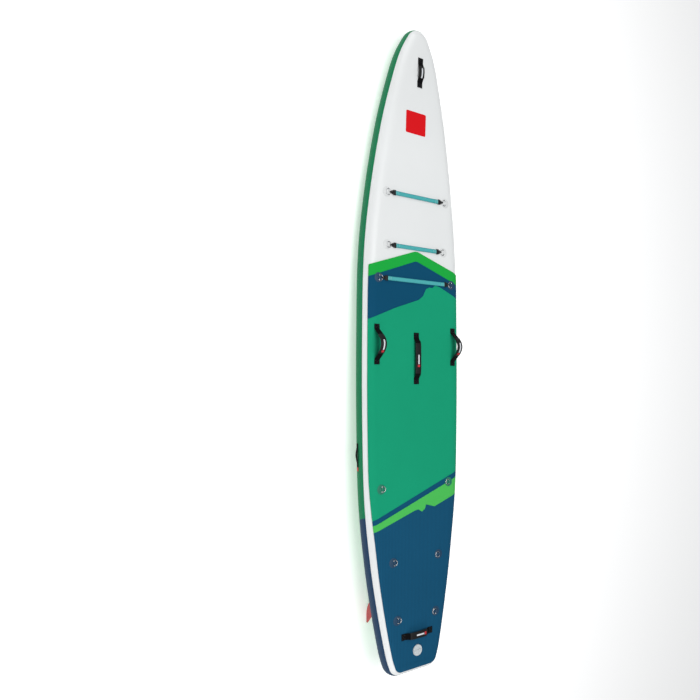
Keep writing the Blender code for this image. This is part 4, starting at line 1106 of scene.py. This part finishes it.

# %% [markdown]
# The two side handles stand up in an arch and can be pushed over either way. The webbing is again one strip,
# sewn down at both ends; it has to stay put at the deck and lean over at the top. Its wall and edges are
# applied to its mesh, and it rides no body. The sleeve simply rides the handle's body.

# %% Side handles
SIDE_HALF, ARCH_HALF, FOOT_RISE, ARCH_HEIGHT = 0.1215, 0.0875, 0.0065, 0.0675


def side_handle_path():
    flat = [(-SIDE_HALF, 0.0018), (-SIDE_HALF + 0.016, 0.0018), (-ARCH_HALF - 0.007, 0.0021)]
    arch = [(ARCH_HALF * (2 * s - 1), FOOT_RISE + ARCH_HEIGHT * math.sin(math.pi * s))
            for s in [i / 14 for i in range(15)]]
    return smooth_path([*flat, *arch, *[(-x, z) for x, z in reversed(flat)]], 6)


def side_handle(side_name, side):
    body = "handle_loop_" + side_name
    base = on_deck(0.042, side * (flat_half_width(0.042) - 0.004), PAD_TOP + GAP)
    path = side_handle_path()
    band = add_piece("webbing_side_" + side_name, strip(path, 0.038), black_webbing, None, base)
    settled(rolled_edges(walled(band, 0.0028, 0.0), 0.0008))
    foot, knee = [REST @ base @ Vector((0, 0, z)) for z in (0.003, 0.030)]
    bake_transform(band)
    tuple(foot)
    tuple(knee)
    grip = add_piece("grip_side_" + side_name, sleeve(path, 0.041, 0.0125, 0.27, 0.73), grip_material, body, base,
                     flat_angle=60)
    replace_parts(band, body, f"handle_tab_{side_name}_fore", f"handle_tab_{side_name}_aft")
    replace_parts(grip, body)
    for end, sign in (("fore", 1), ("aft", -1)):
        thread = box_stitch(sign * (SIDE_HALF - 0.005), sign * (ARCH_HALF + 0.009), 0.014, 0.0034)
        sewn = add_piece(f"stitches_side_{side_name}_{end}", thread, dark_thread, place=base)
        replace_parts(sewn, f"handle_tab_{side_name}_{end}")


for side_name, side in SIDES:
    side_handle(side_name, side)
print("side handles", 2)

# %% [markdown]
# The inflation valve is moulded nylon: a flanged barrel clamped through the deck, a spring plunger inside and
# a bayonet cap. All three are turned shapes. The cap's rim is knurled for the fingers, so every other column
# of its rim is moved in by half a millimetre, and a rounded bar across the top is what turns it.

# %% Valve
VALVE = on_deck(0.150 - HALF, 0, PAD_TOP + GAP)


def turned(profile, steps=64):
    """A closed profile of (radius, z) points, turned about Z. Points on the axis close it."""
    shape = bmesh.new()
    verts = [shape.verts.new((r, 0, z)) for r, z in profile]
    pairs = [(a, b) for a, b in zip(verts, [*verts[1:], verts[0]]) if a.co.x > 1e-6 or b.co.x > 1e-6]
    edges = [shape.edges.new(pair) for pair in pairs]
    bmesh.ops.spin(shape, geom=[*verts, *edges], cent=(0, 0, 0), axis=(0, 0, 1), angle=2 * math.pi, steps=steps,
                   use_merge=True)
    bmesh.ops.remove_doubles(shape, verts=shape.verts, dist=1e-5)
    bmesh.ops.recalc_face_normals(shape, faces=shape.faces)
    return shape


def knurled(shape, radius, depth, steps):
    """Moves every other pair of columns of a turned rim inwards."""
    for vert in shape.verts:
        flat = math.hypot(vert.co.x, vert.co.y)
        column = round(math.atan2(vert.co.y, vert.co.x) / (2 * math.pi) * steps) % 4
        if flat > radius - 1e-4 and column in (0, 1):
            vert.co.x *= (flat - depth) / flat
            vert.co.y *= (flat - depth) / flat
    return shape


barrel = turned([(0.020, 0.003), (0.0300, 0.003), (0.0306, 0.0027), (0.031, 0.0021), (0.031, 0.0), (0.024, 0.0),
                 (0.024, -0.042), (0.009, -0.042), (0.009, -0.039), (0.020, -0.039)])
add_piece("valve_barrel", barrel, grey_plastic, place=VALVE, stands_for=["valve_body"])
plunger = turned([(0, -0.012), (0.0084, -0.012), (0.009, -0.0126), (0.009, -0.015), (0.005, -0.015),
                  (0.005, -0.0423), (0.014, -0.0423), (0.014, -0.0453), (0, -0.0453)], 40)
add_piece("valve_poppet", plunger, grey_plastic, "valve_plunger", VALVE,
          stands_for=["valve_plunger"])
CAP_STEPS = 128
rim_points = [(0, 0.0073), (0.0232, 0.0073), (0.0240, 0.0067), (0.0262, 0.0067), (0.0270, 0.0073), (0.0316, 0.0073),
              (0.0332, 0.0070), (0.0345, 0.0058), (0.035, 0.0043), (0.035, 0.0006), (0.0347, 0.0003),
              (0.032, 0.0003), (0.032, 0.0033), (0.0194, 0.0033), (0.0194, -0.006), (0.0164, -0.006),
              (0.0164, 0.0023), (0, 0.0023)]
cap = knurled(turned(rim_points, CAP_STEPS), 0.0345, 0.0006, CAP_STEPS)
bar = rounded_block((0.009, 0.050, 0.0066), (0, 0, 0.0090), 0.0021, 4)
add_piece("valve_lid", joined([cap, bar]), grey_plastic, "valve_cap", VALVE, flat_angle=40,
          stands_for=["valve_cap"])
print("valve pieces", 3)

# %% [markdown]
# The two fins are flexible blades, swept aft and thinner at the tip. Their edges are drawn at eight depths
# and run smoothly between them. At each depth the section is a foil: round in front, thickest a third of the
# way back and thin behind. A grid again: its rows are the depths and its columns go round the foil.

# %% Fins
FIN_ROOT, FIN_DEPTH, BASE_THICK = 0.165, 0.160, 0.003
FIN_LEVELS = ((0.00, 0.000, 1.000), (0.19, 0.260, 1.060), (0.38, 0.521, 1.152), (0.56, 0.727, 1.442),
              (0.75, 0.927, 1.648), (0.88, 1.100, 1.780), (0.97, 1.300, 1.820), (1.00, 1.480, 1.790))


def foil_half(share):
    """Half thickness of the foil at a share of the chord, at most 1."""
    return (2.969 * math.sqrt(share) - 1.260 * share - 3.516 * share**2 + 2.843 * share**3
            - 1.036 * share**4) / 1.0 if share < 1 else 0.0


def fin_shape(columns=40):
    knots = [Vector(level) for level in FIN_LEVELS]
    ends = [2 * knots[0] - knots[1], *knots, 2 * knots[-1] - knots[-2]]
    levels = [*smooth_run(ends, 5), knots[-1]]
    top = BASE_THICK + 2 * GAP
    shape = bmesh.new()
    rows = len(levels) - 1
    bmesh.ops.create_grid(shape, x_segments=rows, y_segments=columns, size=1.0)
    for vert in shape.verts:
        depth, lead, trail = levels[round((vert.co.x + 1) / 2 * rows)]
        turn = math.pi * (vert.co.y + 1)
        share = (1 + math.cos(turn)) / 2
        half = (0.011 + (0.004 - 0.011) * depth) / 2
        end = min(1.0, math.sqrt(max(0.0, (1.0 - depth) / 0.06)) * 0.75 + 0.25)
        y = math.copysign(half * foil_half(share) * end, math.sin(turn)) if 0 < share < 1 else 0.0
        vert.co = Vector((-(lead + (trail - lead) * share) * FIN_ROOT, y, top + (FIN_DEPTH - top) * depth))
    bmesh.ops.remove_doubles(shape, verts=shape.verts, dist=1e-6)
    bmesh.ops.holes_fill(shape, edges=[e for e in shape.edges if e.is_boundary], sides=0)
    bmesh.ops.recalc_face_normals(shape, faces=shape.faces)
    return shape


def base_shape():
    """A long oval plate with a raised socket round the blade's root, in the fin's frame."""
    middle = -FIN_ROOT / 2
    oval = [(0.0825 * end + 0.025 * math.cos(t), 0.025 * math.sin(t)) for end in (1, -1)
            for t in [math.radians(-90 * end + 7.5 * i) for i in range(25)]]
    shape = bmesh.new()
    face = shape.faces.new([shape.verts.new((middle + x, y, GAP)) for x, y in oval])
    raised = bmesh.ops.extrude_face_region(shape, geom=[face])
    top = [v for v in raised["geom"] if isinstance(v, bmesh.types.BMVert)]
    bmesh.ops.translate(shape, verts=top, vec=(0, 0, BASE_THICK))
    bmesh.ops.recalc_face_normals(shape, faces=shape.faces)
    rim = [e for e in shape.edges if all(v.co.z > BASE_THICK for v in e.verts)]
    bmesh.ops.bevel(shape, geom=rim, offset=0.0012, segments=3, profile=0.5, affect="EDGES", material=-1)
    socket = bmesh.new()
    bmesh.ops.create_circle(socket, cap_ends=False, segments=48, radius=1.0)
    bmesh.ops.scale(socket, vec=(FIN_ROOT / 2 + 0.0085, 0.0112, 1), verts=socket.verts)
    bmesh.ops.translate(socket, vec=(middle, 0, BASE_THICK), verts=socket.verts)
    wall = bmesh.ops.extrude_edge_only(socket, edges=socket.edges[:])
    high = [v for v in wall["geom"] if isinstance(v, bmesh.types.BMVert)]
    bmesh.ops.translate(socket, vec=(0, 0, 0.0078), verts=high)
    lip = bmesh.ops.extrude_edge_only(socket, edges=[e for e in socket.edges if e.is_boundary and
                                                     e.verts[0].co.z > BASE_THICK + 0.005])
    inner = [v for v in lip["geom"] if isinstance(v, bmesh.types.BMVert)]
    bmesh.ops.scale(socket, vec=(0.955, 0.62, 1), verts=inner, space=Matrix.Translation((-middle, 0, 0)))
    well = bmesh.ops.extrude_edge_only(socket, edges=[e for e in socket.edges if e.is_boundary and
                                                      e.verts[0].co.z > BASE_THICK + 0.005])
    deep = [v for v in well["geom"] if isinstance(v, bmesh.types.BMVert)]
    bmesh.ops.translate(socket, vec=(0, 0, -0.0078), verts=deep)
    bmesh.ops.recalc_face_normals(socket, faces=socket.faces)
    corners = [e for e in socket.edges if not e.is_boundary and all(v.co.z > BASE_THICK + 0.005 for v in e.verts)
               and e.calc_face_angle(0) > 1.0]
    bmesh.ops.bevel(socket, geom=corners, offset=0.0009, segments=3, profile=0.5, affect="EDGES", material=-1)
    return joined([shape, socket])


for side_name, side in SIDES:
    fin_place = on_bottom(0.572 - HALF, side * 0.165)
    blade = add_piece("blade_" + side_name, fin_shape(), fin_red, place=fin_place)
    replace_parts(blade, "fin_" + side_name)
    plate = add_piece("fin_plate_" + side_name, base_shape(), black_plastic, place=fin_place)
    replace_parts(plate, "fin_base_" + side_name)
print("fins", 2)

# %% [markdown]
# On each rail, a little aft of the middle, a strip of webbing is glued down at both ends and stands off in
# between, to lash a paddle or a leash to. It is laid over the hull as a narrow grid, by its place on the rail
# and its angle, with a bulge in the middle. A small red tag is sewn into its after end.

# %% Rail straps


def station_at(x):
    """The outline's point and inward normal at x, on the port side."""
    for (a, n), (b, m) in zip(OUTLINE, OUTLINE[1:]):
        if a.x <= x <= b.x and b.x > a.x:
            share = (x - a.x) / (b.x - a.x)
            return a.lerp(b, share), n.lerp(m, share).normalized()
    return OUTLINE[-1]


def rail_patch(side, start, end, low_angle, high_angle, out, rows=36, columns=8):
    """A grid on the rail between two places along it and two angles. out(share) is its height off the skin."""
    stations = [station_at(start + (end - start) * i / rows) for i in range(rows + 1)]
    length = abs(end - start)
    shape = bmesh.new()
    bmesh.ops.create_grid(shape, x_segments=rows, y_segments=columns, size=1.0)
    along = shape.verts.layers.float.new("along")
    across = shape.verts.layers.float.new("across")
    for vert in shape.verts:
        row = round((vert.co.x + 1) / 2 * rows)
        angle = low_angle + (high_angle - low_angle) * (vert.co.y + 1) / 2
        vert[along] = (row / rows - 0.5) * length
        vert[across] = vert.co.y * math.radians(high_angle - low_angle) * rail_radius(0) / 2
        point = hull_point(stations[row], angle, out(row / rows))
        vert.co = Vector((point.x, side * point.y, point.z))
    bmesh.ops.recalc_face_normals(shape, faces=shape.faces)
    if sum(face.normal.y * side * face.calc_area() for face in shape.faces) < 0:
        bmesh.ops.reverse_faces(shape, faces=shape.faces)
    return shape


def strap_height(share):
    return 0.0016 + 0.0075 * max(0.0, math.sin(math.pi * (share * 1.5 - 0.25))) ** 1.2


for side_name, side in SIDES:
    strap = add_piece("rail_loop_" + side_name, rail_patch(side, -0.698, -0.554, 92.5, 107.5, strap_height),
                      black_webbing)
    rolled_edges(walled(strap, 0.0026, 1.0), 0.0007)
    tag = add_piece("rail_tag_" + side_name,
                    rail_patch(side, -0.722, -0.696, 95.0, 105.0, lambda share: 0.0022, 4, 4), badge_red)
    rolled_edges(walled(tag, 0.0012, 1.0), 0.0003)
    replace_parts(strap, "rail_strap_" + side_name)
    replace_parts(tag, "rail_strap_" + side_name)
print("rail straps", 2)

# %% [markdown]
# Two square badges, one on the foredeck and one under the bow, are plain red patches of coated fabric with
# rounded corners. They carry no lettering here. Each is a small grid laid on the skin and given a thin wall;
# its corners are rounded by pulling the grid's outer rows towards a rounded square.

# %% Badges


def rounded_square(u, v, corner=0.12):
    """Moves a point of the square from -1 to 1 so that the square's corners are rounded."""
    reach = 1 - corner
    x, y = min(abs(u), reach), min(abs(v), reach)
    dx, dy = abs(u) - x, abs(v) - y
    if dx > 0 and dy > 0:
        wide = max(dx, dy)
        scale = wide / math.hypot(dx, dy)
        dx, dy = dx * scale, dy * scale
    return math.copysign(x + dx, u), math.copysign(y + dy, v)


def badge(name, x, y, length, width, surface, out):
    """surface(x, y) is the skin's height there. out is how far off it the badge lies, up or down."""
    shape = bmesh.new()
    bmesh.ops.create_grid(shape, x_segments=32, y_segments=32, size=1.0)
    for vert in shape.verts:
        u, v = rounded_square(vert.co.x, vert.co.y)
        px, py = x + u * length / 2, y + v * width / 2
        vert.co = Vector((px, py, surface(px, py) + out))
    bmesh.ops.recalc_face_normals(shape, faces=shape.faces)
    faces_up(shape, 1 if out > 0 else -1)
    return rolled_edges(walled(add_piece(name, shape, badge_red), 0.0006, 1.0), 0.0002)


def deck_height(x, y):
    return lift(x)


def bottom_height(x, y):
    """The bottom skin's height, with its keel ridge."""
    share = min(1.0, abs(y) / flat_half_width(x))
    aside = math.hypot(share, 0.09) - 0.09 * (1 - share)
    return lift(x) - 2 * rail_radius(x) - vee(x) * max(0.0, 1 - aside)


deck_badge = badge("deck_badge", 1.42, 0.02, 0.135, 0.155, deck_height, 0.0003)
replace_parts(deck_badge, "deck_skin")
bow_badge = badge("bow_badge", 1.286, 0.07, 0.130, 0.125, bottom_height, -0.0003)
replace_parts(bow_badge, "bottom_skin")
print("badges", deck_badge.name, bow_badge.name)

# %% [markdown]
# The board lies on a large white studio floor, under soft boxes. A wide one overhead
# and to port gives the broad light, a long low one from the bow draws a soft highlight along the rails, and
# a third from astern keeps the tail from going dull. The world adds an even pale fill. The floor and the
# lights belong to the stage, not to the object. The plain view transform keeps the fabric's colours as
# printed.

# %% Floor, lights and world
floor_shape = bmesh.new()
bmesh.ops.create_grid(floor_shape, x_segments=1, y_segments=1, size=40.0)
floor_mesh = bpy.data.meshes.new("studio_floor")
floor_shape.to_mesh(floor_mesh)
floor_shape.free()
floor_paint, floor_tree, floor_shader = new_material("white studio floor", Base_Color=linear("F4F4F4"),
                                                     Roughness=0.9, Specular_IOR_Level=0.1)
floor_shader.inputs["Emission Color"].default_value = (1, 1, 1, 1)
floor_shader.inputs["Emission Strength"].default_value = 0.42
floor_mesh.materials.append(floor_paint)
floor = bpy.data.objects.new("studio_floor", floor_mesh)
bpy.context.scene.collection.objects.link(floor)


def soft_box(name, place, aim, size, power):
    data = bpy.data.lights.new(name, "AREA")
    data.shape = "RECTANGLE"
    data.size, data.size_y = size
    data.energy = power
    box = bpy.data.objects.new(name, data)
    box.location = place
    box.rotation_euler = (Vector(aim) - Vector(place)).to_track_quat("-Z", "Y").to_euler()
    bpy.context.scene.collection.objects.link(box)
    return box


soft_box("overhead", (0.2, 0.9, 4.6), (0.1, 0, 0), (5.0, 3.0), 182)
soft_box("bow", (4.6, 0.6, 1.9), (1.0, 0, 0.2), (1.2, 3.0), 38)
soft_box("stern", (-4.2, 1.2, 2.2), (-0.9, 0, 0.2), (1.6, 2.4), 42)
world = bpy.data.worlds.new("pale studio")
world.use_nodes = True
world.node_tree.nodes["Background"].inputs["Color"].default_value = linear("F5F8FA")
world.node_tree.nodes["Background"].inputs["Strength"].default_value = 0.26
bpy.context.scene.world = world
bpy.context.scene.view_settings.view_transform = "Standard"
print("lights", [light.name for light in bpy.data.lights])
